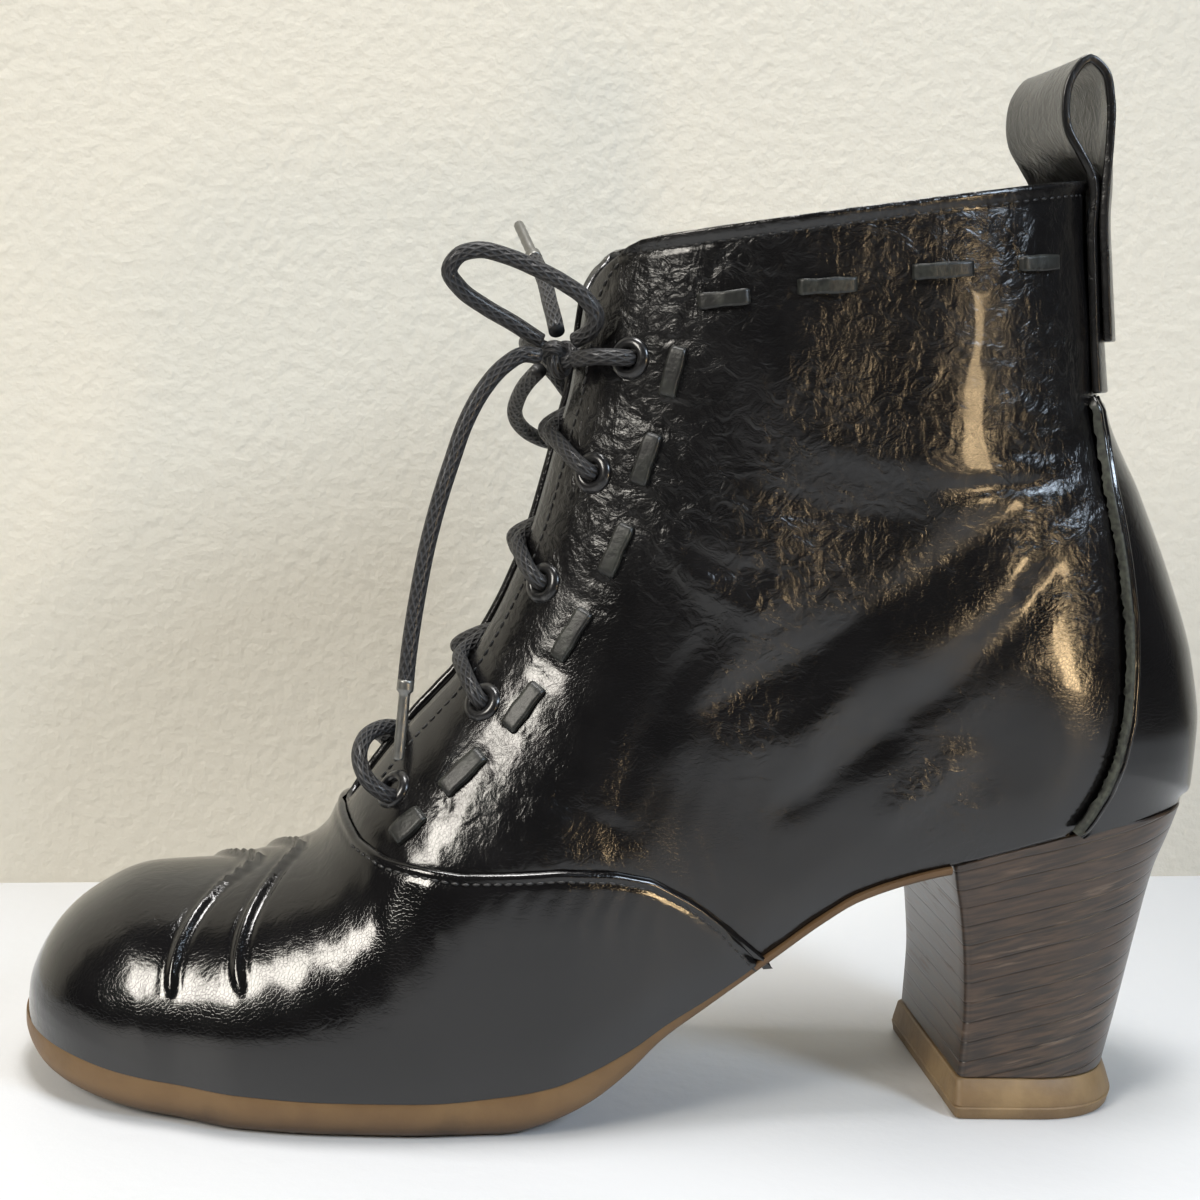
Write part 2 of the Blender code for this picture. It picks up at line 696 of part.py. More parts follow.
def heel_block(finish, group):
    """Stacked heel from its top piece up to the slanting heel seat."""
    low = HEEL_TOP_PIECE + GAP
    rings = []
    for rise in (0.0, 0.2, 0.4, 0.6, 0.8, 0.92, 1.0):
        back, front, half = (
            from_table(HEEL, HEEL_COLUMNS, "rise", name, np.array([rise]))[0]
            for name in ("back_x", "front_x", "half_width")
        )
        rings.append(heel_ring(back, front, half, lambda x: low + (seat_z(x) - low) * rise))
    return loft("heel_block", rings, finish, group)


def heel_top_piece(finish, group):
    """Rubber top piece, flared past the heel, flat on the ground."""
    rings = [heel_ring(back, front, half, lambda x, z=z: z) for z, back, front, half in TOP_PIECE]
    return loft("heel_top_piece", rings, finish, group)


def inside_wall(x, z, side, inset):
    """Half width of the plan at a height, drawn in by an inset all round."""
    shift = np.linspace(-inset, inset, 13)
    width = half_width(x + shift, shift * 0 + z, side)
    return max(np.min(width - np.sqrt(inset ** 2 - shift ** 2)), 0.8)


def insole(finish, group):
    """Leather insole lying on the sole and the heel seat, inside the wall."""
    rings = []
    stations = [x for x in sole_stations() if x > TOE_X + 5.8]
    stations = np.concatenate([stations, np.linspace(78.0, 114.0, 5)])
    for x in stations:
        at = np.array([x])
        low = seat_z(x) + FEATHER_GAP + 0.05
        ring_high = []
        ring_low = []
        for side in (OUTER, INNER):
            edge = inside_wall(x, low + 0.5, side, WALL + 0.9)
            y = centre_y(at)[0] + side * edge
            ring_low.append((x, y, low))
            ring_high.append((x, y, low + INSOLE_THICK))
        rings.append([ring_low[0], ring_low[1], ring_high[1], ring_high[0]])
    return loft("insole", rings, finish, group)


def tongue(finish, group):
    """Leather tongue behind the laces, caught under the vamp at its lower end."""
    rows = np.concatenate([np.linspace(TONGUE_FIRST_ROW, 11.5, 4), np.linspace(12.3, 26.6, 8)])
    points = []
    columns = 7
    for row in rows:
        ridge = np.array(section_point(row, "ridge"))
        base = np.array(section_point(row, "base"))
        tries = np.linspace(0.0, 0.5, 500)
        line = ridge + (base - ridge) * tries[:, None]
        width = half_width(line[:, 0], line[:, 1], OUTER)
        across = np.sin(np.linspace(-pi / 2, pi / 2, columns) * 0.98) * TONGUE_HALF_WIDTH
        for y in across:
            place = line[min(np.argmax(width >= abs(y)), len(line) - 1)]
            points.append((place[0], centre_y(place[:1])[0] + y, place[1]))
    mesh = mesh_from("tongue", points, sheet_faces(len(rows), columns))
    shape = bmesh.new()
    shape.from_mesh(mesh)
    shape.normal_update()
    front = min(shape.faces, key=lambda f: f.calc_center_median().x)
    if front.normal.x > 0:
        bmesh.ops.reverse_faces(shape, faces=shape.faces)
        shape.normal_update()
    moved = []
    for vert in shape.verts:
        lower = ease((vert.co.z / MM - 58.0) / 16.0)
        depth = WALL + 0.8 + (TONGUE_DEPTH - WALL - 0.8) * lower
        moved.append(vert.co - vert.normal * depth * MM)
    for vert, place in zip(shape.verts, moved):
        vert.co = place
    shape.to_mesh(mesh)
    shape.free()
    made = add_object("tongue", mesh, finish, group)
    thicken(made, 1.8, -1)
    return made


def back_x(z, y):
    """The shaft's back face at a height and a distance from the middle."""
    last = np.interp(min(z, BACK_LINE[-1, 1]), BACK_LINE[:, 1], BACK_LINE[:, 0])
    tries = np.linspace(last - 40.0, last, 400)
    width = half_width(tries, tries * 0 + z, OUTER)
    inside = np.nonzero(width >= max(abs(y), 0.01))[0]
    return tries[inside[-1]]


def pull_strap(finish, group):
    """Folded leather strap over the back seam, standing up as a finger loop."""
    rows = []
    across = np.linspace(-STRAP_HALF_WIDTH, STRAP_HALF_WIDTH, 7)
    collar = 200.0
    shape_at = {y: back_x(collar, y) - back_x(collar, STRAP_HALF_WIDTH) for y in across}
    for i, (edge_x, z, wrap) in enumerate(STRAP):
        row = []
        for y in across:
            if i < STRAP_ON_SHAFT:
                x = back_x(z, y) + STRAP_SEAT + STRAP_THICK / 2
            elif i >= len(STRAP) - STRAP_BEHIND:
                lean = np.hypot(1.0, back_x(z, abs(y) + 1.0) - back_x(z, y))
                x = back_x(z, y) + STRAP_SEAT + STRAP_THICK / 2 + (STRAP_THICK + STRAP_GAP) * lean
            else:
                x = edge_x + wrap * shape_at[y]
            row.append((x, y, z))
        rows.append(row)
    points = [p for row in rows for p in row]
    mesh = mesh_from("pull_strap", points, sheet_faces(len(rows), len(across)))
    made = add_object("pull_strap", mesh, finish, group)
    thicken(made, STRAP_THICK, 0)
    return made


def eyelet(side, number, place, finish, group):
    """Pressed metal eyelet: flange on the leather, barrel through it."""
    profile = [(EYELET_HOLE, -2.2), (EYELET_HOLE, 0.9), (4.1, 0.9), (EYELET_RADIUS, 0.0), (2.6, 0.0), (2.6, -2.2)]
    segments = 8
    points = []
    for i in range(segments):
        angle = 2 * pi * i / segments
        points += [(r * cos(angle), r * sin(angle), h) for r, h in profile]
    faces = []
    size = len(profile)
    for i in range(segments):
        for j in range(size):
            a, b = i * size + j, i * size + (j + 1) % size
            c, d = (i + 1) % segments * size + (j + 1) % size, (i + 1) % segments * size + j
            faces.append((a, b, c, d))
    name = f"eyelet_{SIDE_NAMES[side]}_{number}"
    made = add_object(name, mesh_from(name, points, faces), finish, group)
    made.location = above(*place, side, EYELET_LIFT) * MM
    made.rotation_euler = skin_normal(*place, side).to_track_quat("Z", "Y").to_euler()
    return made


def thong(side, number, ends, finish, group):
    """One visible stitch of the flat leather thong."""
    start, end = np.array(ends[0]), np.array(ends[1])
    along = end - start
    across = np.array([-along[1], along[0]]) / np.hypot(*along)
    points = []
    for t in np.linspace(0.0, 1.0, 4):
        for w in (-0.5, 0.5):
            x, z = start + along * t + across * w * THONG_WIDTH
            points.append(tuple(above(x, z, side, 0.5)))
    faces = sheet_faces(4, 2)
    name = f"thong_{SIDE_NAMES[side]}_{number:02d}"
    mesh = mesh_from(name, points, faces)
    shape = bmesh.new()
    shape.from_mesh(mesh)
    shape.faces.ensure_lookup_table()
    shape.normal_update()
    if shape.faces[0].normal.y * side < 0:
        bmesh.ops.reverse_faces(shape, faces=shape.faces)
    shape.to_mesh(mesh)
    shape.free()
    made = add_object(name, mesh, finish, group)
    thicken(made, THONG_THICK, 1)
    return made


def tube(name, route, radius, spacing, finish, group):
    """A cord: a smooth curve through its route, read at even steps."""
    route = np.array(route, dtype=float)
    way = np.concatenate([[0.0], np.cumsum(np.linalg.norm(np.diff(route, axis=0), axis=1))])
    count = max(int(round(way[-1] / spacing)), 3) + 1
    at = np.linspace(0.0, way[-1], count)
    points = np.stack([smooth(way, route[:, i], at) for i in range(3)], axis=1)
    line = bpy.data.curves.new(name, "CURVE")
    line.dimensions = "3D"
    line.bevel_depth = radius * MM
    line.bevel_resolution = 1
    line.use_fill_caps = True
    spline = line.splines.new("POLY")
    spline.points.add(len(points) - 1)
    for point, place in zip(spline.points, points):
        point.co = (*(place * MM), 1.0)
    curve_object = bpy.data.objects.new(name + "_curve", line)
    bpy.context.scene.collection.objects.link(curve_object)
    bpy.context.view_layer.update()
    seen = curve_object.evaluated_get(bpy.context.evaluated_depsgraph_get())
    mesh = bpy.data.meshes.new_from_object(seen)
    bpy.data.objects.remove(curve_object, do_unlink=True)
    shape = bmesh.new()
    shape.from_mesh(mesh)
    bmesh.ops.remove_doubles(shape, verts=shape.verts, dist=0.00002)
    shape.to_mesh(mesh)
    shape.free()
    mesh.materials.clear()
    return add_object(name, mesh, finish, group)


def edge_point(height, side):
    """Where the quarter's front edge is at a height."""
    rows = np.linspace(THROAT_ROW + 0.3, COLLAR_ROW, 200)
    x, z = section_point(rows, "ridge")
    row = rows[np.argmin(abs(z - height))]
    ridge = np.array(section_point(row, "ridge"))
    base = np.array(section_point(row, "base"))
    place = ridge + (base - ridge) * throat_start(row, side)
    return skin(place[0], place[1], side)


def lace_arm(level, side):
    """From outside one eyelet, over its edge, under the other quarter one up."""
    low, high = EYELETS[level], EYELETS[level - 1]
    radius = LACE / 2
    start = above(*low, side, EYELET_LIFT + 0.9 + 0.35 + radius)
    over_z = low[1] + 0.36 * (high[1] - low[1])
    edge = edge_point(over_z, side)
    ahead = Vector((-1.0, 0.0, 0.55)).normalized()
    over = edge + ahead * (radius + 1.3) + Vector((0.0, side * 0.4, 0.0))
    middle_z = (low[1] + high[1]) / 2
    middle = edge_point(middle_z, side) + ahead * -0.4
    middle.y = 0.0
    middle.z += 0.5 * side
    middle.x += 0.3 * side
    under_z = low[1] + 0.66 * (high[1] - low[1])
    under = edge_point(under_z, -side) - ahead * (WALL + radius + 1.2)
    under.y = -side * 5.5
    half = (start + over) / 2 + skin_normal(*low, side) * 1.6
    return [start, half, over, middle, under]


def lace_crossing(level, finish, group, cutters):
    """Two arms of the lace that cross in the throat, joined where they touch."""
    arms = []
    for side in (OUTER, INNER):
        name = f"lace_crossing_{level}" if side == OUTER else f"lace_arm_cut_{level}"
        holder = group if side == OUTER else cutters
        route = [tuple(p) for p in lace_arm(level, side)]
        arms.append(tube(name, route, LACE / 2, 4.2, finish, holder))
    hide_cutter(arms[1])
    cut(arms[0], arms[1], "UNION")
    return arms[0]


def lace_knot(finish, group):
    """The bow's knot as one soft lump."""
    shape = bmesh.new()
    bmesh.ops.create_uvsphere(shape, u_segments=8, v_segments=6, radius=1.0)
    for vert in shape.verts:
        vert.co = Vector([c * size * MM for c, size in zip(vert.co, KNOT_SIZE)])
    mesh = bpy.data.meshes.new("lace_knot")
    shape.to_mesh(mesh)
    shape.free()
    made = add_object("lace_knot", mesh, finish, group)
    made.location = Vector(KNOT) * MM
    return made


def aglet(name, route, finish, group):
    """Crimped metal tip that carries on from the end of the lace."""
    last, before = Vector(route[-1]), Vector(route[-2])
    way = (last - before).normalized()
    start = last + way * GAP
    return tube(name, [tuple(start), tuple(start + way * AGLET_LENGTH)], AGLET_RADIUS, 8.0, finish, group)


def build():
    clear_scene()
    boot = collection("victorian_lace_up_boot")
    cutters = collection("cutters")
    leather = material("black_leather", (0.012, 0.011, 0.011), 0.22)
    thong_leather = material("thong_leather", (0.05, 0.056, 0.05), 0.6)
    lining = material("lining_leather", (0.36, 0.27, 0.17), 0.7)
    gum = material("gum_rubber", (0.33, 0.2, 0.09), 0.6)
    stack = material("stacked_heel", (0.05, 0.028, 0.018), 0.45)
    eyelet_paint = material("eyelet_black", (0.015, 0.015, 0.016), 0.3)
    braid = material("lace_braid", (0.014, 0.014, 0.016), 0.7)
    steel = material("aglet_steel", (0.3, 0.3, 0.29), 0.35, 1.0)
    outsole(gum, boot)
    heel_block(stack, boot)
    heel_top_piece(gum, boot)
    insole(lining, boot)
    upper(leather, boot, cutters)
    vamp(leather, boot, cutters)
    heel_counter(leather, boot, cutters)
    tongue(leather, boot)
    pull_strap(leather, boot)
    for side in (OUTER, INNER):
        for i, place in enumerate(EYELETS):
            eyelet(side, i + 1, place, eyelet_paint, boot)
        for i, ends in enumerate(THONGS):
            thong(side, i + 1, ends, thong_leather, boot)
    for level in range(1, len(EYELETS)):
        lace_crossing(level, braid, boot, cutters)
    for side in (OUTER, INNER):
        tube(f"lace_to_knot_{SIDE_NAMES[side]}", TO_KNOT[side], LACE / 2, 4.0, braid, boot)
    lace_knot(braid, boot)
    tube("lace_loop_outer", LOOP_OUTER, LACE / 2, 6.0, braid, boot)
    tube("lace_loop_inner", LOOP_INNER, LACE / 2, 6.0, braid, boot)
    tube("lace_end_outer", END_OUTER, LACE / 2, 7.0, braid, boot)
    tube("lace_end_inner", END_INNER, LACE / 2, 7.0, braid, boot)
    aglet("aglet_outer", END_OUTER, steel, boot)
    aglet("aglet_inner", END_INNER, steel, boot)


build()
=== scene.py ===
import bmesh
import bpy
import numpy as np
from math import cos, pi, radians, sin
from mathutils import Matrix, Vector


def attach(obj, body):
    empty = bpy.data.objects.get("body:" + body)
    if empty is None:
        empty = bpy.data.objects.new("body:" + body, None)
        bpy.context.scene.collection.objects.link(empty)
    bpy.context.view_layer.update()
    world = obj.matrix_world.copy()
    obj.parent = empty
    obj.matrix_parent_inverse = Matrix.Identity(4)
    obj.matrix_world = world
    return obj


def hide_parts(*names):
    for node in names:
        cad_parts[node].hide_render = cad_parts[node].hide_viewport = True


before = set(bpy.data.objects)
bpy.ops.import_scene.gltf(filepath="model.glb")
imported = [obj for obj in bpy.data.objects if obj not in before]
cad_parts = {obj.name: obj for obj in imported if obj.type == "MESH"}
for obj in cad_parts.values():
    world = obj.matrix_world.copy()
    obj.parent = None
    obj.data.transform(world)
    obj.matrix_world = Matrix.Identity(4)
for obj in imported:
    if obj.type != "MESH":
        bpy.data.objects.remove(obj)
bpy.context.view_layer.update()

# Camera: a normal lens a step away from the outer side of the left boot, a
# little above the top eyelets, turned and tipped slightly down.
CAMERA_AT = Vector((-0.0496, -0.3818, 0.168))
CAMERA_TURN, CAMERA_DOWN, CAMERA_ROLL = radians(3.5), radians(8.6), radians(-2.1)


def add_camera():
    level = Vector((sin(CAMERA_TURN), cos(CAMERA_TURN), 0.0))
    side = Vector((cos(CAMERA_TURN), -sin(CAMERA_TURN), 0.0))
    upright = Vector((0.0, 0.0, 1.0))
    ahead = level * cos(CAMERA_DOWN) - upright * sin(CAMERA_DOWN)
    top = upright * cos(CAMERA_DOWN) + level * sin(CAMERA_DOWN)
    right = side * cos(CAMERA_ROLL) - top * sin(CAMERA_ROLL)
    above_it = top * cos(CAMERA_ROLL) + side * sin(CAMERA_ROLL)
    lens = bpy.data.cameras.new("camera")
    lens.sensor_width = 36.0
    lens.lens = 51.84
    lens.shift_x = 0.08
    lens.clip_start = 0.01
    camera = bpy.data.objects.new("camera", lens)
    turned = Matrix((right, above_it, -ahead)).transposed().to_4x4()
    camera.matrix_world = Matrix.Translation(CAMERA_AT) @ turned
    bpy.context.scene.collection.objects.link(camera)
    bpy.context.scene.camera = camera


add_camera()

# The last: the foot-shaped form that the leather is pulled over. Each section
# runs in the side view from the ridge to the feather line, then up the back.
MM = 0.001
OUTER, INNER = -1, 1
SECTION_COLUMNS = ("ridge_x", "ridge_z", "base_x", "base_z")
SECTIONS = [
    (-130.3, 17.2, -130.4, 13.6),
    (-129.9, 20.4, -129.6, 13.4),
    (-128.8, 23.8, -127.4, 13.1),
    (-126.1, 29.1, -123.6, 12.7),
    (-122.5, 33.6, -118.8, 12.2),
    (-116.9, 38.2, -113.4, 11.6),
    (-106.5, 43.2, -107.0, 11.0),
    (-90.6, 45.0, -101.0, 10.5),
    (-79.0, 47.8, -95.0, 10.2),
    (-69.0, 51.6, -84.0, 9.7),
    (-63.6, 56.2, -72.0, 9.4),
    (-60.4, 63.8, -58.0, 9.3),
    (-54.2, 73.8, -38.0, 9.5),
    (-46.6, 84.2, -16.0, 12.1),
    (-35.5, 97.6, 2.0, 19.9),
    (-27.8, 111.8, 23.0, 33.5),
    (-23.6, 122.6, 51.0, 52.9),
    (-21.2, 131.0, 85.0, 63.1),
    (-19.4, 138.4, 119.0, 69.9),
    (-18.2, 143.4, 129.0, 71.2),
    (-17.2, 148.0, 131.0, 74.6),
    (-16.4, 151.6, 131.0, 87.0),
    (-15.2, 156.4, 128.2, 102.6),
    (-14.4, 161.4, 121.6, 120.6),
    (-13.7, 166.8, 113.2, 138.8),
    (-13.1, 172.4, 103.4, 158.4),
    (-12.3, 178.8, 99.8, 180.0),
    (-11.2, 188.0, 96.2, 206.0),
]
THROAT_ROW, HEEL_ROW, COLLAR_ROW = 11, 20, 27
FOOT_COLUMNS = ("x", "outer", "inner", "centre_y")
FOOT = [
    (-132.0, 33.0, 33.0, 6.0),
    (-115.0, 34.0, 34.0, 5.2),
    (-95.0, 36.2, 37.4, 3.4),
    (-80.0, 39.2, 39.2, 1.6),
    (-62.0, 40.2, 40.0, 0.4),
    (-45.0, 40.2, 39.2, 0.0),
    (-30.0, 39.2, 36.2, 0.0),
    (-15.0, 38.0, 32.8, 0.0),
    (0.0, 35.4, 29.6, 0.0),
    (20.0, 31.8, 27.4, 0.0),
    (45.0, 29.4, 27.2, 0.0),
    (70.0, 28.4, 28.0, 0.0),
    (95.0, 28.8, 28.8, 0.0),
    (132.0, 29.4, 29.4, 0.0),
]
SHAFT_COLUMNS = ("z", "half_width", "front_round", "back_round")
SHAFT = [
    (0.0, 31.0, 33.0, 42.0),
    (40.0, 31.0, 34.0, 42.0),
    (60.0, 30.8, 38.0, 43.0),
    (100.0, 30.4, 44.0, 44.0),
    (130.0, 30.2, 46.0, 45.0),
    (160.0, 31.6, 48.0, 46.0),
    (205.0, 34.0, 48.0, 46.0),
]
SOLE_COLUMNS = ("x", "top_z", "bottom_z")
SOLE = [
    (-132.8, 13.3, 9.2),
    (-125.0, 12.6, 4.6),
    (-117.0, 11.8, 2.8),
    (-107.0, 10.7, 1.5),
    (-95.0, 9.9, 0.6),
    (-82.0, 9.4, 0.0),
    (-60.0, 9.0, 0.0),
    (-40.0, 9.1, 0.0),
    (-24.0, 10.4, 0.0),
    (-15.0, 12.0, 2.2),
    (-6.0, 15.4, 6.2),
    (2.0, 19.6, 12.4),
    (9.0, 24.4, 19.6),
    (18.4, 30.0, 26.6),
    (32.0, 39.4, 36.8),
    (44.0, 48.2, 45.8),
    (51.0, 52.5, 50.2),
    (65.0, 57.3, 55.1),
    (75.0, 59.7, 57.4),
    (85.0, 62.7, 60.0),
    (93.0, 65.2, 62.0),
    (111.0, 68.8, 65.0),
    (120.0, 69.9, 66.0),
    (132.0, 71.0, 67.0),
]
THROAT_HALF_GAP = 7.0
COLLAR_CORNER = 12.0


def column(table, names, name):
    return np.array([row[names.index(name)] for row in table], dtype=float)


def smooth(xs, ys, x):
    """A curve through (xs, ys) that never overshoots, read at x."""
    step = np.diff(xs)
    slope = np.diff(ys) / step
    tangent = np.empty(len(ys))
    tangent[0], tangent[-1] = slope[0], slope[-1]
    before, after = slope[:-1], slope[1:]
    total = np.where(before * after > 0, before + after, 1.0)
    tangent[1:-1] = np.where(before * after > 0, 2 * before * after / total, 0.0)
    i = np.clip(np.searchsorted(xs, x, side="right") - 1, 0, len(step) - 1)
    t = np.clip((x - xs[i]) / step[i], 0.0, 1.0)
    near = (1 + 2 * t) * (1 - t) ** 2 * ys[i] + t * (1 - t) ** 2 * step[i] * tangent[i]
    far = t * t * (3 - 2 * t) * ys[i + 1] + t * t * (t - 1) * step[i] * tangent[i + 1]
    return near + far


def catmull(way, points, at):
    """A smooth curve through points given at distances along it, read anywhere."""
    slope = np.gradient(points, way, axis=0)
    i = np.clip(np.searchsorted(way, at, side="right") - 1, 0, len(way) - 2)
    step = np.diff(way)[i]
    shape = (-1,) + (1,) * (points.ndim - 1)
    t = ((at - way[i]) / step).reshape(shape)
    step = step.reshape(shape)
    near = (1 + 2 * t) * (1 - t) ** 2 * points[i] + t * (1 - t) ** 2 * step * slope[i]
    return near + t * t * (3 - 2 * t) * points[i + 1] + t * t * (t - 1) * step * slope[i + 1]


def from_table(table, names, key, name, x):
    return smooth(column(table, names, key), column(table, names, name), x)


def seat_z(x):
    return from_table(SOLE, SOLE_COLUMNS, "x", "top_z", np.asarray(x, dtype=float))


def base_heights():
    listed = column(SECTIONS, SECTION_COLUMNS, "base_z")
    places = column(SECTIONS, SECTION_COLUMNS, "base_x")
    return np.concatenate([seat_z(places[:HEEL_ROW]) + 0.1, listed[HEEL_ROW:]])


BASE_Z = base_heights()


def section_point(row, end):
    """Ridge or base points (x, z) of the sections at fractional rows."""
    rows = np.arange(len(SECTIONS), dtype=float)
    heights = BASE_Z if end == "base" else column(SECTIONS, SECTION_COLUMNS, "ridge_z")
    x = smooth(rows, column(SECTIONS, SECTION_COLUMNS, end + "_x"), row)
    z = smooth(rows, heights, row)
    if end == "base":
        z = np.where(np.asarray(row) < HEEL_ROW - 1, seat_z(x) + 0.1, z)
    return x, z


def section_ends(row):
    return np.array(section_point(row, "ridge")), np.array(section_point(row, "base"))


def outline(first, last, end):
    rows = np.linspace(first, last, 10 * (last - first) + 1)
    return np.stack(section_point(rows, end), axis=1)


RIDGE_LINE = np.concatenate([[[SECTIONS[0][2], BASE_Z[0]]], outline(0, COLLAR_ROW, "ridge")])
BACK_LINE = outline(HEEL_ROW - 1, COLLAR_ROW, "base")


def distance(points, line):
    """Distance from points to a line, in the side view or in space, and how far along it."""
    line = np.asarray(line, dtype=float)
    a, along = line[:-1], np.diff(line, axis=0)
    lengths = np.linalg.norm(along, axis=1)
    before = np.concatenate([[0.0], np.cumsum(lengths)[:-1]])
    best, place = [], []
    for chunk in np.array_split(points, max(1, len(points) // 4000)):
        rel = chunk[:, None, :] - a[None]
        t = np.clip((rel * along).sum(-1) / (along * along).sum(-1), 0.0, 1.0)
        gap = np.linalg.norm(rel - t[..., None] * along, axis=-1)
        i = gap.argmin(axis=1)
        k = np.arange(len(chunk))
        best.append(gap[k, i])
        place.append(before[i] + t[k, i] * lengths[i])
    return np.concatenate(best), np.concatenate(place) / lengths.sum()


def distances(points):
    """How far along a line of points each of them lies."""
    return np.concatenate([[0.0], np.cumsum(np.linalg.norm(np.diff(points, axis=0), axis=-1))])


def dome(s, power=2.15):
    s = np.clip(s, 0.0, 1.0)
    return (1.0 - (1.0 - s) ** power) ** (1.0 / power)


def ease(t):
    t = np.clip(t, 0.0, 1.0)
    return t * t * (3 - 2 * t)


def half_width(x, z, side):
    """Half width of the upper's outer face at side-view points, per side."""
    x, z = np.broadcast_arrays(np.atleast_1d(x).astype(float), np.atleast_1d(z).astype(float))
    foot = from_table(FOOT, FOOT_COLUMNS, "x", "outer" if side == OUTER else "inner", x)
    shaft = from_table(SHAFT, SHAFT_COLUMNS, "z", "half_width", z)
    front = from_table(SHAFT, SHAFT_COLUMNS, "z", "front_round", z)
    back = from_table(SHAFT, SHAFT_COLUMNS, "z", "back_round", z)
    widest = foot + (shaft - foot) * ease((z - 45.0) / 60.0)
    points = np.stack([x.ravel(), z.ravel()], axis=1)
    drawn_in = 1.0 - 0.05 * np.clip(1.0 - (z - seat_z(x)) / 14.0, 0.0, 1.0) ** 2
    round_front = dome(distance(points, RIDGE_LINE)[0].reshape(x.shape) / front)
    round_back = dome(distance(points, BACK_LINE)[0].reshape(x.shape) / back)
    return widest * drawn_in * round_front * round_back


def centre_y(x):
    return from_table(FOOT, FOOT_COLUMNS, "x", "centre_y", np.asarray(x, dtype=float))


def skin(x, z, side):
    """Points of the form's outer face, in millimetres, and their normals."""
    x, z = np.atleast_1d(x).astype(float), np.atleast_1d(z).astype(float)

    def face(x, z):
        return np.stack([x, centre_y(x) + side * half_width(x, z, side), z], axis=-1)

    step = 0.4
    slope_x = face(x + step, z) - face(x - step, z)
    slope_z = face(x, z + step) - face(x, z - step)
    normal = np.cross(slope_x, slope_z)
    normal /= np.linalg.norm(normal, axis=-1, keepdims=True)
    normal *= np.sign(normal[..., 1:2]) * side
    return face(x, z), normal


def throat_start(row, side):
    """How far along its section, from the ridge, a row of leather starts."""
    if row <= THROAT_ROW:
        return 0.0
    ridge, base = section_ends(row)
    bottom = np.clip(1.0 - (row - THROAT_ROW) / 0.8, 0.0, 1.0)
    opening = THROAT_HALF_GAP * np.sqrt(1.0 - bottom ** 2)
    tries = np.linspace(0.0, 0.2, 400)
    points = ridge + (base - ridge) * tries[:, None]
    widths = half_width(points[:, 0], points[:, 1], side)
    start = np.interp(opening, widths[:200], tries[:200])
    below = np.hypot(*(np.array(section_point(COLLAR_ROW, "ridge")) - ridge))
    corner = COLLAR_CORNER - np.sqrt(COLLAR_CORNER ** 2 - max(COLLAR_CORNER - below, 0.0) ** 2)
    return start + corner / np.hypot(*(base - ridge))


# Leather upper: black waxed leather pulled over the last and creased by wear,
# one hollow wall from toe to collar with folded, stitched throat and collar.
VAMP_EDGE = [
    (-63.2, 74.0), (-62.2, 68.0), (-60.4, 63.6), (-56.6, 60.6), (-50.4, 59.0),
    (-35.3, 58.2), (-14.9, 59.4), (-3.6, 58.8), (5.0, 57.0), (14.7, 51.8),
    (22.0, 46.2), (30.0, 37.6),
]
COUNTER_EDGE = [
    (95.8, 158.4), (97.6, 151.2), (99.2, 140.7), (101.2, 132.4), (102.9, 124.0),
    (104.5, 113.5), (105.1, 103.0), (105.0, 92.3), (103.6, 83.6), (101.5, 76.9),
    (98.6, 71.2), (95.6, 66.4),
]
THONGS = [
    ((9.1, 176.8), (19.5, 178.3)),
    ((28.5, 180.4), (40.8, 181.4)),
    ((51.6, 184.2), (64.3, 185.5)),
    ((74.3, 186.8), (84.4, 187.8)),
    ((6.3, 167.8), (4.2, 157.1)),
    ((2.2, 149.8), (-0.8, 138.7)),
    ((-2.5, 130.7), (-6.7, 119.4)),
    ((-10.2, 112.2), (-16.2, 101.2)),
    ((-19.4, 95.8), (-26.2, 86.2)),
    ((-31.1, 81.3), (-39.3, 72.9)),
    ((-43.4, 68.6), (-49.4, 62.4)),
]
UPPER_WALL = 2.0
# Each crease: side-view points, half width, height (troughs are negative)
CREASES = [
    ([(88, 147), (70, 130), (48, 112), (22, 96), (-2, 84)], 3.4, -0.9),
    ([(92, 140), (76, 120), (58, 104), (34, 88), (10, 78)], 4.2, 0.8),
    ([(92, 132), (80, 112), (66, 98), (46, 84)], 3.0, -0.8),
    ([(96, 146), (84, 142), (70, 141), (58, 138)], 1.6, -0.6),
    ([(96, 150), (84, 148), (72, 149)], 1.4, -0.5),
    ([(97, 140), (88, 134), (80, 126)], 1.5, -0.55),
    ([(98, 154), (90, 155), (80, 158), (70, 160)], 1.6, 0.45),
    ([(58, 118), (44, 100), (36, 84), (34, 70)], 5.0, 0.9),
    ([(20, 112), (8, 98), (0, 82), (-6, 70)], 3.4, -0.6),
    ([(34, 124), (22, 110), (12, 92), (8, 76)], 3.8, 0.6),
    ([(60, 92), (44, 80), (28, 68)], 3.6, -0.8),
    ([(74, 88), (64, 76), (50, 66)], 3.2, 0.6),
    ([(2, 132), (14, 118), (30, 110)], 3.0, 0.5),
    ([(6, 128), (18, 122), (34, 122)], 2.6, -0.45),
    ([(28, 150), (50, 146), (70, 146)], 4.2, 0.45),
    ([(20, 140), (40, 134), (62, 134)], 3.6, -0.45),
    ([(-20, 78), (-10, 70), (4, 64)], 2.6, -0.45),
]
RIPPLES = (14, 18.5, 24, 28.6, 34, 38.2, 44, 49.4, 54, 58.6, 65, 69.2, 74, 79.6, 84)
RIPPLE_DEPTH, RIPPLE_HALF_WIDTH = 0.34, 1.5
PUCKER_DEPTH, PUCKER_HALF_WIDTH, PUCKER_REACH = 0.22, 0.7, 6.5
PUCKER_TURNS = (-1.1, -0.5, 0.1, 0.7, 1.2)
COLLAR_RIM, COLLAR_SEAM = 2.6, 3.0
HIDDEN_DEPTH = 0.6
WELD, SLIVER = 0.02, 0.005


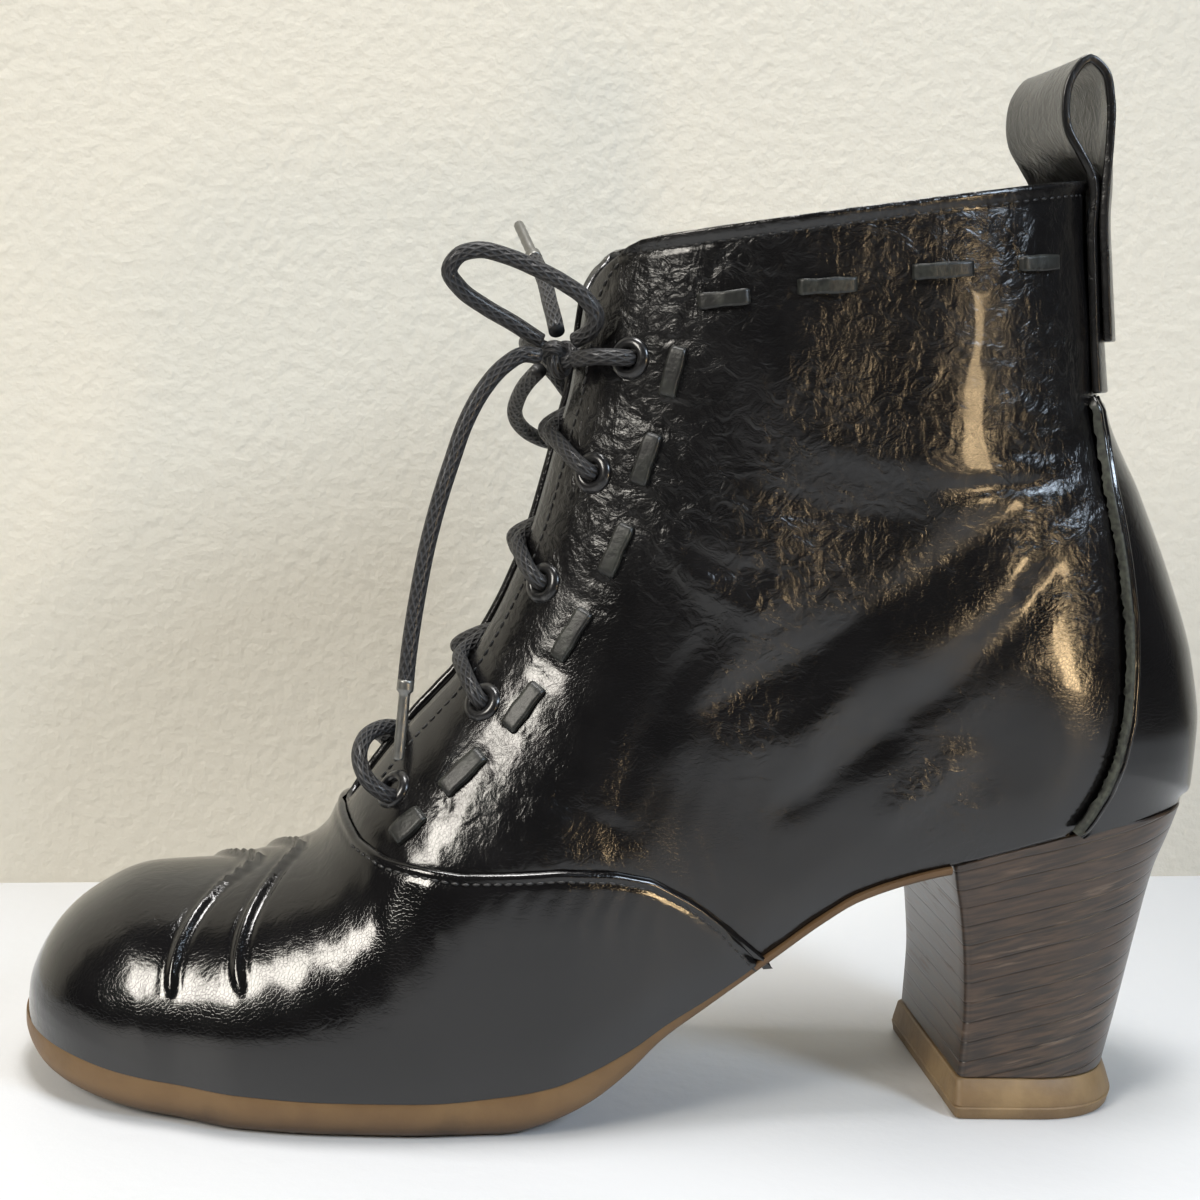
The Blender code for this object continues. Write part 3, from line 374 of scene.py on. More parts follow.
def along_section(row, side, start, columns, edges):
    """Side-view points of one section; edges are millimetres from its start."""
    ridge, base = section_ends(row)
    length = np.hypot(*(base - ridge))
    first = start + np.array(edges) / length
    rest = (1 - np.cos(pi * np.linspace(0.0, 1.0, columns))) / 2
    rest = first[-1] + (1 - first[-1]) * (0.5 * rest + 0.5 * np.linspace(0.0, 1.0, columns))
    along = np.concatenate([first[:-1], rest])
    return ridge + (base - ridge) * along[:, None]


def collar_z(x):
    """Height of the collar's edge in the side view."""
    front_x, front_z, rear_x, rear_z = SECTIONS[-1]
    return front_z + (x - front_x) * (rear_z - front_z) / (rear_x - front_x)


def crease_relief(x, z, side):
    """Troughs and ridges of the quarters, in millimetres."""
    points = np.stack([x.ravel(), z.ravel()], axis=1)
    px, pz = points.T
    total = np.zeros(len(points))
    for line, width, height in CREASES:
        gap, along = distance(points, line)
        fade = ease(along / 0.22) * ease((1.0 - along) / 0.3)
        total += height * fade * np.exp(-((gap / width) ** 2))
    drop = collar_z(px) - pz
    reach = ease((drop - COLLAR_RIM) / 2.0) * ease((24.0 - drop) / 20.0)
    for place in RIPPLES:
        bend = place - 0.1 * drop
        total -= RIPPLE_DEPTH * reach * np.exp(-(((px - bend) / RIPPLE_HALF_WIDTH) ** 2))
    for ends in THONGS:
        start, end = np.array(ends[0]), np.array(ends[1])
        axis = (end - start) / np.hypot(*(end - start))
        for tip, way in ((start, -axis), (end, axis)):
            across = np.array([-way[1], way[0]])
            for turn in PUCKER_TURNS:
                arm = way * cos(turn) + across * sin(turn)
                gap, along = distance(points, [tip + arm, tip + arm * PUCKER_REACH])
                fade = (1.0 - along) * ease(along / 0.1 + 0.3)
                total -= PUCKER_DEPTH * fade * np.exp(-((gap / PUCKER_HALF_WIDTH) ** 2))
    soft = np.sin(px * 0.11 + pz * 0.07) * np.sin(pz * 0.09 - px * 0.05 + 1.0)
    total += 0.45 * soft * ease((px + 10.0) / 40.0) * ease((pz - 56.0) / 30.0)
    total += 0.05 * np.sin(px * 0.9 + 2.0 * np.sin(pz * 0.21))
    return (total if side == OUTER else 0.7 * total).reshape(x.shape)


def add_net(made, place, turned=False):
    """Adds a net of points, in millimetres, to a bmesh as four-sided faces."""
    corners = [[made.verts.new(p * MM) for p in line] for line in place]
    for here, after in zip(corners, corners[1:]):
        for j in range(len(here) - 1):
            face = [here[j], here[j + 1], after[j + 1], after[j]]
            made.faces.new(face[::-1] if turned else face)


def mesh_of(made):
    mesh = bpy.data.meshes.new("mesh")
    made.to_mesh(mesh)
    made.free()
    return mesh


def net_mesh(rows, side_points, relief):
    """Both sides of a leather piece as one sheet, lifted by its relief."""
    made = bmesh.new()
    for side in (OUTER, INNER):
        flat = np.array([side_points(row, side) for row in rows])
        x, z = flat[..., 0], flat[..., 1]
        middle = np.zeros(x.shape, dtype=bool)
        for line in (RIDGE_LINE, BACK_LINE):
            middle |= distance(flat.reshape(-1, 2), line)[0].reshape(x.shape) < WELD
        width = np.where(middle, 0.0, half_width(x, z, side))
        place = np.stack([x, centre_y(x) + side * width, z], axis=-1)
        normal = np.cross(np.gradient(place, axis=0), np.gradient(place, axis=1))
        normal *= np.sign((normal[..., 1] * side).sum())
        normal[middle, 1] = 0.0
        normal /= np.maximum(np.linalg.norm(normal, axis=-1, keepdims=True), 1e-9)
        add_net(made, place + normal * relief(x, z, side)[..., None], side == INNER)
    bmesh.ops.remove_doubles(made, verts=made.verts, dist=WELD * MM)
    bmesh.ops.dissolve_degenerate(made, edges=made.edges, dist=SLIVER * MM)
    widest = min(made.faces, key=lambda f: f.calc_center_median().y)
    made.normal_update()
    if widest.normal.y > 0:
        bmesh.ops.reverse_faces(made, faces=made.faces)
    return mesh_of(made)


def add_piece(name, mesh, finish, replaced=()):
    """Links a finished piece, shades it smooth and ties it to the CAD frame."""
    made = bpy.data.objects.new(name, mesh)
    bpy.context.scene.collection.objects.link(made)
    mesh.name = name
    mesh.materials.clear()
    mesh.materials.append(finish)
    mesh.polygons.foreach_set("use_smooth", [True] * len(mesh.polygons))
    if replaced:
        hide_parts(*replaced)
    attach(made, "root")
    return made


def settle(made):
    """Turns an object's modifiers into plain mesh."""
    bpy.context.view_layer.update()
    seen = made.evaluated_get(bpy.context.evaluated_depsgraph_get())
    mesh = bpy.data.meshes.new_from_object(seen)
    made.modifiers.clear()
    made.data = mesh
    mesh.name = made.name
    return mesh


def thicken(made, thickness, offset, round_edge=0.0):
    wall = made.modifiers.new("wall", "SOLIDIFY")
    wall.thickness = thickness * MM
    wall.offset = offset
    if round_edge:
        bevel = made.modifiers.new("round", "BEVEL")
        bevel.width = round_edge * MM
        bevel.segments = 3
        bevel.limit_method = "ANGLE"
        bevel.angle_limit = radians(50)
    settle(made)


class Shade:
    """A shader socket that takes part in Python arithmetic."""

    def __init__(self, tree, socket=None):
        self.tree, self.socket = tree, socket

    def node(self, kind, settings=None, inputs=None, output=0):
        made = self.tree.nodes.new(kind)
        for name, value in (settings or {}).items():
            setattr(made, name, value)
        for name, value in (inputs or {}).items():
            if isinstance(value, Shade):
                self.tree.links.new(value.socket, made.inputs[name])
            else:
                made.inputs[name].default_value = value
        return Shade(self.tree, made.outputs[output])

    def math(self, operation, *values):
        return self.node("ShaderNodeMath", {"operation": operation}, dict(enumerate(values)))

    def __add__(self, other):
        return self.math("ADD", self, other)

    def __radd__(self, other):
        return self.math("ADD", other, self)

    def __sub__(self, other):
        return self.math("SUBTRACT", self, other)

    def __rsub__(self, other):
        return self.math("SUBTRACT", other, self)

    def __mul__(self, other):
        return self.math("MULTIPLY", self, other)

    def __truediv__(self, other):
        return self.math("DIVIDE", self, other)

    def object_space(self):
        return self.node("ShaderNodeTexCoord", None, None, "Object")

    def axis(self, name):
        return self.node("ShaderNodeSeparateXYZ", None, {"Vector": self}, name)

    def noise(self, where, scale, detail=3.0, distortion=0.0):
        inputs = {"Vector": where, "Scale": scale, "Detail": detail, "Distortion": distortion}
        return self.node("ShaderNodeTexNoise", None, inputs)

    def ramp(self, low, high):
        inputs = {"Value": self, "From Min": low, "From Max": high}
        return self.node("ShaderNodeMapRange", {"interpolation_type": "SMOOTHSTEP"}, inputs)

    def blend(self, first, second):
        return self.node("ShaderNodeMix", {"data_type": "RGBA"}, {0: self, 6: first, 7: second}, 2)

    def bump(self, height, distance, strength=1.0, below=None):
        inputs = {"Height": height, "Distance": distance, "Strength": strength}
        if below is not None:
            inputs["Normal"] = below
        return self.node("ShaderNodeBump", None, inputs)


def new_material(name):
    made = bpy.data.materials.new(name)
    made.use_nodes = True
    start = Shade(made.node_tree)
    return made, made.node_tree.nodes["Principled BSDF"], start


def wire(start, shader, values):
    for name, value in values.items():
        if isinstance(value, Shade):
            start.tree.links.new(value.socket, shader.inputs[name])
        else:
            shader.inputs[name].default_value = value


def leather(name, tint, roughness, wrinkles, coat=0.25):
    """Black waxed leather: fine pebbled grain, wrinkles and an uneven shine."""
    made, shader, start = new_material(name)
    where = start.object_space()
    bent = start.noise(where, 90.0, 2.0)
    pores = {"Vector": where, "Scale": 1250.0}
    cells = start.node("ShaderNodeTexVoronoi", {"feature": "DISTANCE_TO_EDGE"}, pores)
    folds = start.noise(where, 230.0, 6.0, 1.6)
    patch = start.noise(where, 26.0, 2.0).ramp(0.36, 0.62)
    worked = patch * 0.55 + where.axis("Z").ramp(0.07, 0.15) * 0.45
    pull = {"Vector": where, "Rotation": (0.0, 0.7, 0.0), "Scale": (1.0, 1.0, 0.3)}
    lines = start.noise(start.node("ShaderNodeMapping", None, pull), 420.0, 3.0, 0.8)
    height = start.bump(folds * worked, 0.0011 * wrinkles, 0.5)
    height = start.bump(lines * worked, 0.0005 * wrinkles, 0.45, height)
    height = start.bump(cells.ramp(0.0, 0.12), 0.000025, 0.35, height)
    worn = start.noise(where, 45.0, 4.0)
    wire(start, shader, {
        "Base Color": worn.ramp(0.35, 0.75).blend((*tint, 1.0), (*(1.7 * c for c in tint), 1.0)),
        "Roughness": bent * 0.14 + worked * 0.06 + (roughness - 0.12),
        "Coat Weight": coat,
        "Coat Roughness": 0.08,
        "Normal": height,
    })
    return made


def upper_rows():
    return np.concatenate([
        np.linspace(0, 5, 26), np.linspace(5, 11, 50)[1:], np.linspace(11, 12, 16)[1:],
        np.linspace(12, 18, 84)[1:], np.linspace(18, 20.4, 26)[1:], np.linspace(20.4, 26, 66)[1:],
        np.linspace(26, COLLAR_ROW, 22)[1:],
    ])


def upper_points(row, side):
    return along_section(row, side, throat_start(row, side), 64, (0.0, 0.5, 1.0, 1.6, 2.4, 3.4))


def upper_relief(x, z, side):
    lift = crease_relief(x, z, side)
    points = np.stack([x.ravel(), z.ravel()], axis=1)
    drop = collar_z(x) - z
    lift = lift + 0.45 * ease((COLLAR_RIM - drop) / 1.2)
    lift -= 0.3 * np.exp(-(((drop - COLLAR_SEAM) / 0.7) ** 2))
    under_vamp = (distance(points, VAMP_EDGE)[0].reshape(x.shape) > 1.0) & inside_vamp(x, z)
    under_counter = x > np.interp(z, *np.array(COUNTER_EDGE[::-1])[:, ::-1].T) + 1.0
    under_counter &= z < 157.0
    return np.where(under_vamp | under_counter, -HIDDEN_DEPTH, lift)


def inside_vamp(x, z):
    edge = np.array(VAMP_EDGE)
    return (z < np.interp(x, edge[2:, 0], edge[2:, 1], left=80.0)) & (x < 31.0)


upper_leather = leather("upper_leather", (0.0035, 0.0033, 0.0035), 0.22, 1.0)
upper_mesh = net_mesh(upper_rows(), upper_points, upper_relief)
upper = add_piece("upper_skin", upper_mesh, upper_leather, ["upper"])
thicken(upper, UPPER_WALL, -1.0)

# Vamp: one piece of the same leather over toe and forefoot, lapped over the
# quarters, stitched along its edge, with two pinched tucks across it.
TUCKS = [
    [(-79.4, 0.0), (-83.5, 0.4), (-88.0, 1.7), (-91.6, 4.4), (-94.2, 8.2), (-95.4, 12.6), (-95.2, 17.0)],
    [(-69.6, 0.0), (-73.0, 0.5), (-76.5, 2.2), (-79.3, 5.2), (-80.9, 9.2), (-81.2, 13.4), (-79.8, 17.6)],
]
TUCK_HEIGHT, TUCK_HALF_WIDTH = 1.3, 0.85
VAMP_LIFT, VAMP_SEAM = 1.5, 2.2
EDGE_LIFT = 0.1


def ridge_z(x):
    line = RIDGE_LINE[:, 0] < -58.0
    return np.interp(x, RIDGE_LINE[line, 0], RIDGE_LINE[line, 1])


def vamp_start(row, side):
    """How far along its section the vamp's edge crosses a row."""
    ridge, base = section_ends(row)
    tries = np.linspace(0.0, 1.0, 1500)
    line = ridge + (base - ridge) * tries[:, None]
    inside = inside_vamp(line[:, 0], line[:, 1])
    return tries[np.argmax(inside)] if inside.any() else 1.0


def vamp_rows():
    return np.concatenate([
        np.linspace(0, 5, 40), np.linspace(5, 7, 40)[1:], np.linspace(7, 11, 100)[1:],
        np.linspace(11, 12, 24)[1:], np.linspace(12, 15.28, 60)[1:],
    ])


def vamp_points(row, side):
    return along_section(row, side, vamp_start(row, side), 66, (0.0, 0.2, 0.5, 1.0, 1.5, 2.0, 2.5, 3.2))


def tuck_line(path, side):
    """A tuck's line over the form, from the ridge down one side."""
    path = np.array(path)
    way = distances(path)
    x, drop = catmull(way, path, np.linspace(0.0, way[-1], 60)).T
    z = ridge_z(x) - np.maximum(drop, 0.0)
    y = centre_y(x) + side * half_width(x, z, side)
    y[0] = centre_y(x[:1])[0]
    return np.stack([x, y, z], axis=1)


def vamp_relief(x, z, side):
    points = np.stack([x.ravel(), z.ravel()], axis=1)
    px, pz = points.T
    gap = distance(points, VAMP_EDGE)[0]
    near = np.clip(gap / 1.1, 0.0, 1.0)
    lift = EDGE_LIFT + (VAMP_LIFT - EDGE_LIFT) * np.sqrt(1.0 - (1.0 - near) ** 2)
    lift -= 0.22 * np.exp(-(((gap - VAMP_SEAM) / 0.7) ** 2))
    solid = np.stack([px, centre_y(px) + side * half_width(px, pz, side), pz], axis=1)
    for path in TUCKS:
        away, along = distance(solid, tuck_line(path, side))
        fade = np.sqrt(np.clip(1.0 - along ** 3, 0.0, 1.0))
        lift += TUCK_HEIGHT * fade * np.exp(-((away / TUCK_HALF_WIDTH) ** 2))
        lift -= 0.28 * fade * np.exp(-(((away - 2.0) / 0.7) ** 2))
    fine = np.sin(px * 1.15 + 1.7 * np.sin(pz * 0.3)) * ease((44.0 - abs(pz - 50.0) * 5.0) / 30.0)
    lift += 0.07 * fine * ease((px + 62.0) / 12.0) * ease((12.0 - px) / 16.0)
    ball = np.sin(px * 0.55 + pz * 0.2) * ease((px + 84.0) / 14.0)
    lift += 0.08 * ball * ease((-30.0 - px) / 20.0) * ease((pz - 22.0) / 12.0)
    return lift.reshape(x.shape)


vamp_leather = leather("vamp_leather", (0.0035, 0.0033, 0.0035), 0.17, 0.45)
vamp_mesh = net_mesh(vamp_rows(), vamp_points, vamp_relief)
add_piece("vamp_skin", vamp_mesh, vamp_leather, ["vamp"])

# Heel counter: back panel of smoother leather, closed to the quarters by a
# seam whose two raw edges stand up as a thin rib.
COUNTER_LIFT = 1.5
RIB_AT, RIB_HEIGHT = 1.3, 1.15


def counter_start(row, side):
    ridge, base = section_ends(row)
    tries = np.linspace(0.3, 1.0, 3000)
    line = ridge + (base - ridge) * tries[:, None]
    edge = np.array(COUNTER_EDGE[::-1])
    inside = (line[:, 0] >= np.interp(line[:, 1], edge[:, 1], edge[:, 0])) & (line[:, 1] <= edge[-1, 1])
    return tries[np.argmax(inside)] if inside.any() else 1.0


def counter_rows():
    return np.concatenate([np.linspace(17.35, 20.4, 46), np.linspace(20.4, 25, 90)[1:]])


def counter_points(row, side):
    near_edge = (0.0, 0.15, 0.3, 0.6, 0.9, 1.15, 1.3, 1.45, 1.7, 2.0, 2.3, 2.5, 2.7, 3.2)
    start = counter_start(row, side)
    ridge, base = section_ends(row)
    room = (1.0 - start) * np.hypot(*(base - ridge))
    edges = np.array(near_edge) * min(1.0, room / 4.0)
    return along_section(row, side, start, 26, edges)


def counter_relief(x, z, side):
    points = np.stack([x.ravel(), z.ravel()], axis=1)
    gap = distance(points, COUNTER_EDGE)[0]
    near = np.clip(gap / 0.3, 0.0, 1.0)
    lift = EDGE_LIFT + (COUNTER_LIFT - EDGE_LIFT) * np.sqrt(1.0 - (1.0 - near) ** 2)
    rib = np.clip(1.0 - (abs(gap - RIB_AT) / RIB_AT) ** 6, 0.0, 1.0) ** 0.5
    lift += RIB_HEIGHT * rib - 0.45 * np.exp(-(((gap - RIB_AT) / 0.22) ** 2))
    return lift.reshape(x.shape)


def counter_finish():
    """The counter's leather, with its raw seam edges in dark green."""
    made = leather("counter_leather", (0.0035, 0.0033, 0.0035), 0.17, 0.25)
    shader = made.node_tree.nodes["Principled BSDF"]
    start = Shade(made.node_tree)
    raw = start.node("ShaderNodeAttribute", {"attribute_name": "raw_edge"}, None, "Fac")
    fibres = start.noise(start.object_space(), 900.0, 4.0)
    black = Shade(made.node_tree, shader.inputs["Base Color"].links[0].from_socket)
    dull = Shade(made.node_tree, shader.inputs["Roughness"].links[0].from_socket)
    green = fibres.ramp(0.3, 0.7).blend((0.012, 0.014, 0.011, 1.0), (0.045, 0.05, 0.038, 1.0))
    wire(start, shader, {
        "Base Color": raw.blend(black, green),
        "Roughness": dull * (1.0 - raw) + raw * 0.7,
        "Coat Weight": (1.0 - raw) * 0.35,
    })
    return made


counter_mesh = net_mesh(counter_rows(), counter_points, counter_relief)
places = np.array([v.co for v in counter_mesh.vertices]) / MM
edge_gap = distance(places[:, [0, 2]], COUNTER_EDGE)[0]
raw_edge = counter_mesh.attributes.new("raw_edge", "FLOAT", "POINT")
raw_edge.data.foreach_set("value", np.where((edge_gap > 0.2) & (edge_gap < 1.9), 1.0, 0.0))
add_piece("counter_skin", counter_mesh, counter_finish(), ["heel_counter"])

# Tongue: a plain leather strip behind the laces, caught under the vamp.
TONGUE_HALF_WIDTH = 18.6


def tongue_mesh():
    rows = np.linspace(9.9, 26.7, 120)
    across = np.sin(np.linspace(-pi / 2, pi / 2, 33) * 0.98) * TONGUE_HALF_WIDTH
    grid = []
    for row in rows:
        ridge, base = section_ends(row)
        tries = np.linspace(0.0, 0.25, 160) ** 1.5
        line = ridge + (base - ridge) * tries[:, None]
        width = np.maximum.accumulate(half_width(line[:, 0], line[:, 1], OUTER))
        at = np.interp(abs(across), width, tries)
        place = ridge + (base - ridge) * at[:, None]
        grid.append(np.stack([place[:, 0], centre_y(place[:, 0]) + across, place[:, 1]], axis=-1))
    grid = np.array(grid)
    normal = np.cross(np.gradient(grid, axis=0), np.gradient(grid, axis=1))
    normal /= np.linalg.norm(normal, axis=-1, keepdims=True)
    normal *= np.where(normal[..., :1] > 0, -1.0, 1.0)
    lower = ease((grid[..., 2] - 58.0) / 16.0)
    depth = 2.9 + 4.6 * lower
    folds = 0.35 * np.sin(grid[..., 2] * 0.42 + np.sin(grid[..., 1] * 0.3)) * lower
    grid = grid - normal * (depth + folds)[..., None]
    return sheet_mesh(grid)


def sheet_mesh(grid):
    """A rectangular net of points, in millimetres, as a mesh."""
    rows, columns = grid.shape[:2]
    faces = [
        (i * columns + j, i * columns + j + 1, (i + 1) * columns + j + 1, (i + 1) * columns + j)
        for i in range(rows - 1)
        for j in range(columns - 1)
    ]
    mesh = bpy.data.meshes.new("mesh")
    mesh.from_pydata((grid.reshape(-1, 3) * MM).tolist(), [], faces)
    return mesh


tongue_leather = leather("tongue_leather", (0.006, 0.0057, 0.0057), 0.36, 0.9, 0.1)
tongue = add_piece("tongue_strip", tongue_mesh(), tongue_leather, ["tongue"])
thicken(tongue, 1.6, 0.0)

# Pull strap: a folded band of leather sewn over the back seam, standing up as
# a finger loop above the collar.
# Each row: x of the band's edge, z, and how far it wraps round the shaft
STRAP = [
    (95.6, 161.0, 1.0),
    (94.2, 172.0, 1.0),
    (93.0, 183.0, 1.0),
    (91.6, 194.0, 1.0),
    (89.6, 206.8, 1.0),
    (89.9, 211.0, 0.55),
    (87.1, 215.6, 0.2),
    (86.2, 220.5, 0.1),
    (87.2, 226.4, 0.1),
    (90.4, 230.0, 0.1),
    (93.8, 227.8, 0.2),
    (95.7, 222.0, 0.25),
    (96.2, 214.0, 0.4),
    (96.0, 206.0, 0.85),
    (95.8, 198.0, 1.0),
    (96.6, 188.0, 1.0),
    (98.2, 172.0, 1.0),
]
STRAP_ON_SHAFT, STRAP_BEHIND = 5, 3
STRAP_SEAT = 0.7
STRAP_GAP = 0.45
STRAP_WRAPS_AS_AT = 200.0
STRAP_HALF_WIDTH = 17.4
STRAP_THICK = 1.8


def back_x(z, across):
    """The shaft's back face at a height and distances from the middle."""
    last = np.interp(min(z, BACK_LINE[-1, 1]), BACK_LINE[:, 1], BACK_LINE[:, 0])
    tries = np.linspace(last, last - 30.0, 300)
    width = np.maximum.accumulate(half_width(tries, tries * 0 + z, OUTER))
    return np.interp(np.maximum(abs(across), 0.01), width, tries)


def strap_grid(across):
    bow = back_x(STRAP_WRAPS_AS_AT, across) - back_x(STRAP_WRAPS_AS_AT, STRAP_HALF_WIDTH)
    grid = []
    for i, (edge_x, z, wrap) in enumerate(STRAP):
        x = edge_x + wrap * bow
        if i < STRAP_ON_SHAFT:
            x = back_x(z, across) + STRAP_SEAT + STRAP_THICK / 2
        elif i >= len(STRAP) - STRAP_BEHIND:
            lean = np.hypot(1.0, back_x(z, np.abs(across) + 1.0) - back_x(z, across))
            x = back_x(z, across) + STRAP_SEAT + STRAP_THICK / 2 + (STRAP_THICK + STRAP_GAP) * lean
        grid.append(np.stack([x, across, np.full(len(across), z)], axis=-1))
    grid = np.array(grid)
    way = distances(grid[:, 0])
    return catmull(way, grid, np.linspace(0.0, way[-1], 140))


strap_leather = leather("strap_leather", (0.0045, 0.0043, 0.0045), 0.3, 0.7)
strap_mesh = sheet_mesh(strap_grid(np.linspace(-STRAP_HALF_WIDTH, STRAP_HALF_WIDTH, 25)))
strap = add_piece("pull_strap_band", strap_mesh, strap_leather, ["pull_strap"])
thicken(strap, STRAP_THICK, 0.0, 0.45)

# Outsole: a thin gum rubber sole with a rounded edge, spring under the toe,
# flat under the ball and rising through the waist to the heel's breast.
TOE_X = -132.7
HEEL_BREAST_X = 71.6


def sole_half_width(x, side):
    widest = from_table(FOOT, FOOT_COLUMNS, "x", "outer" if side == OUTER else "inner", x) * 0.95
    return (widest + 1.5) * dome((x - TOE_X) / 34.0, 2.0)


def outsole_rings():
    rings = []
    turn = np.linspace(0.0, pi / 2, 9)
    for x in TOE_X + 0.02 + (HEEL_BREAST_X - 0.6 - TOE_X) * np.linspace(0.0, 1.0, 150) ** 1.7:
        top, bottom = seat_z(x), from_table(SOLE, SOLE_COLUMNS, "x", "bottom_z", np.array(x))
        left = centre_y(x) - sole_half_width(x, OUTER)
        right = centre_y(x) + sole_half_width(x, INNER)
        deep = top - bottom
        inset = min(5.0, 0.22 * (right - left), 1.6 * deep)
        shoulder = 0.55 * deep
        side = [(0.5, top), (0.15, top - 0.06 * deep), (0.0, top - 0.2 * deep), (0.0, bottom + shoulder)]
        side += [(inset * (1 - cos(a)), bottom + shoulder * (1 - sin(a))) for a in turn[1:]]
        ring = [(x, left + y, z) for y, z in side] + [(x, right - y, z) for y, z in side[::-1]]
        rings.append(ring)
    return np.array(rings)


def loft_mesh(rings):
    """A closed solid through rings of equal point counts, capped at both ends."""
    count, size = rings.shape[:2]
    faces = [
        (i * size + j, i * size + (j + 1) % size, (i + 1) * size + (j + 1) % size, (i + 1) * size + j)
        for i in range(count - 1)
        for j in range(size)
    ]
    faces += [tuple(range(size)), tuple(range((count - 1) * size, count * size))]
    mesh = bpy.data.meshes.new("mesh")
    mesh.from_pydata((rings.reshape(-1, 3) * MM).tolist(), [], faces)
    shape = bmesh.new()
    shape.from_mesh(mesh)
    bmesh.ops.recalc_face_normals(shape, faces=shape.faces)
    shape.to_mesh(mesh)
    shape.free()
    mesh.polygons.foreach_set("use_smooth", [True] * len(mesh.polygons))
    mesh.set_sharp_from_angle(angle=radians(38.0))
    return mesh


def gum_rubber():
    made, shader, start = new_material("outsole_rubber")
    where = start.object_space()
    height = where.axis("Z")
    ground = where.axis("X").ramp(-0.02, 0.03)
    stain = start.noise(where, 70.0, 5.0)
    # painted shade: the rubber darkens towards its lower edge where the sole sits on the floor, with noise
    # stains mixed in
    low_edge_shade_and_stains = (1.0 - height.ramp(0.0005, 0.0075)) * 0.8 * (1.0 - ground) + stain.ramp(0.5, 0.75) * 0.35
    tan = stain.ramp(0.3, 0.7).blend((0.1224, 0.068, 0.026, 1.0), (0.1728, 0.102, 0.0409, 1.0))
    waist = (ground * 0.55).blend(tan, (0.0432, 0.0204, 0.0093, 1.0))
    wire(start, shader, {
        "Base Color": low_edge_shade_and_stains.blend(waist, (0.036, 0.019, 0.0081, 1.0)),
        "Roughness": 0.42 + stain * 0.2,
        "Normal": start.bump(start.noise(where, 500.0, 4.0), 0.0003, 0.4),
    })
    return made


add_piece("outsole_gum", loft_mesh(outsole_rings()), gum_rubber(), ["outsole"])

# Heel: stacked leather lifts, turned and polished dark brown, under them a
# top piece of olive tan rubber with a mould line near the ground.
HEEL_COLUMNS = ("rise", "back_x", "front_x", "half_width")
HEEL = [
    (0.0, 116.6, 77.8, 23.4),
    (0.25, 119.4, 78.0, 23.6),
    (0.5, 121.9, 77.0, 24.2),
    (0.75, 124.6, 74.9, 25.4),
    (0.9, 127.6, 73.0, 26.6),
    (1.0, 129.4, 71.9, 27.4),
]
# Each row: z, back_x, front_x, half_width
TOP_PIECE = [
    (0.0, 118.0, 77.3, 25.2),
    (0.4, 118.4, 76.9, 25.6),
    (2.7, 118.9, 76.5, 26.1),
    (3.0, 118.6, 76.8, 25.8),
    (3.3, 118.7, 76.6, 25.9),
    (6.0, 117.8, 76.9, 25.0),
    (8.3, 116.9, 77.1, 24.1),
    (8.7, 116.5, 77.5, 23.7),
]
HEEL_LOW = 8.75
HEEL_CORNER = 1.6
LIFT_THICK = 0.0046
LIFT_SLOPE = 0.26


def heel_plan(back, front, half):
    """Plan of the heel: straight breast, straight sides, round back."""
    angle = np.linspace(-pi / 2, pi / 2, 61)
    x = front + (back - front) * (0.42 + 0.58 * np.abs(np.cos(angle)) ** 0.85)
    y = half * np.sign(np.sin(angle)) * np.abs(np.sin(angle)) ** 0.8
    corner = np.linspace(0.0, pi / 2, 6)
    near_x = front + HEEL_CORNER - HEEL_CORNER * np.sin(corner)
    near_y = half - HEEL_CORNER + HEEL_CORNER * np.cos(corner)
    across = np.linspace(half - HEEL_CORNER, -half + HEEL_CORNER, 14)[1:-1]
    x = np.concatenate([x, near_x, across * 0 + front, near_x[::-1]])
    return x, np.concatenate([y, near_y, across, -near_y[::-1]])


def heel_rings():
    rings = []
    for rise in np.concatenate([[0.0], np.linspace(0.006, 0.994, 60), [1.0]]):
        back, front, half = (
            from_table(HEEL, HEEL_COLUMNS, "rise", name, np.array(rise))
            for name in ("back_x", "front_x", "half_width")
        )
        tuck = 0.35 if rise in (0.0, 1.0) else 0.0
        x, y = heel_plan(back - tuck, front + tuck, half - tuck)
        rings.append(np.stack([x, y, HEEL_LOW + (seat_z(x) - HEEL_LOW) * rise], axis=-1))
    return np.array(rings)


def top_piece_rings():
    rings = []
    for z, back, front, half in TOP_PIECE:
        x, y = heel_plan(back, front, half)
        rings.append(np.stack([x, y, np.full(len(x), z)], axis=-1))
    return np.array(rings)


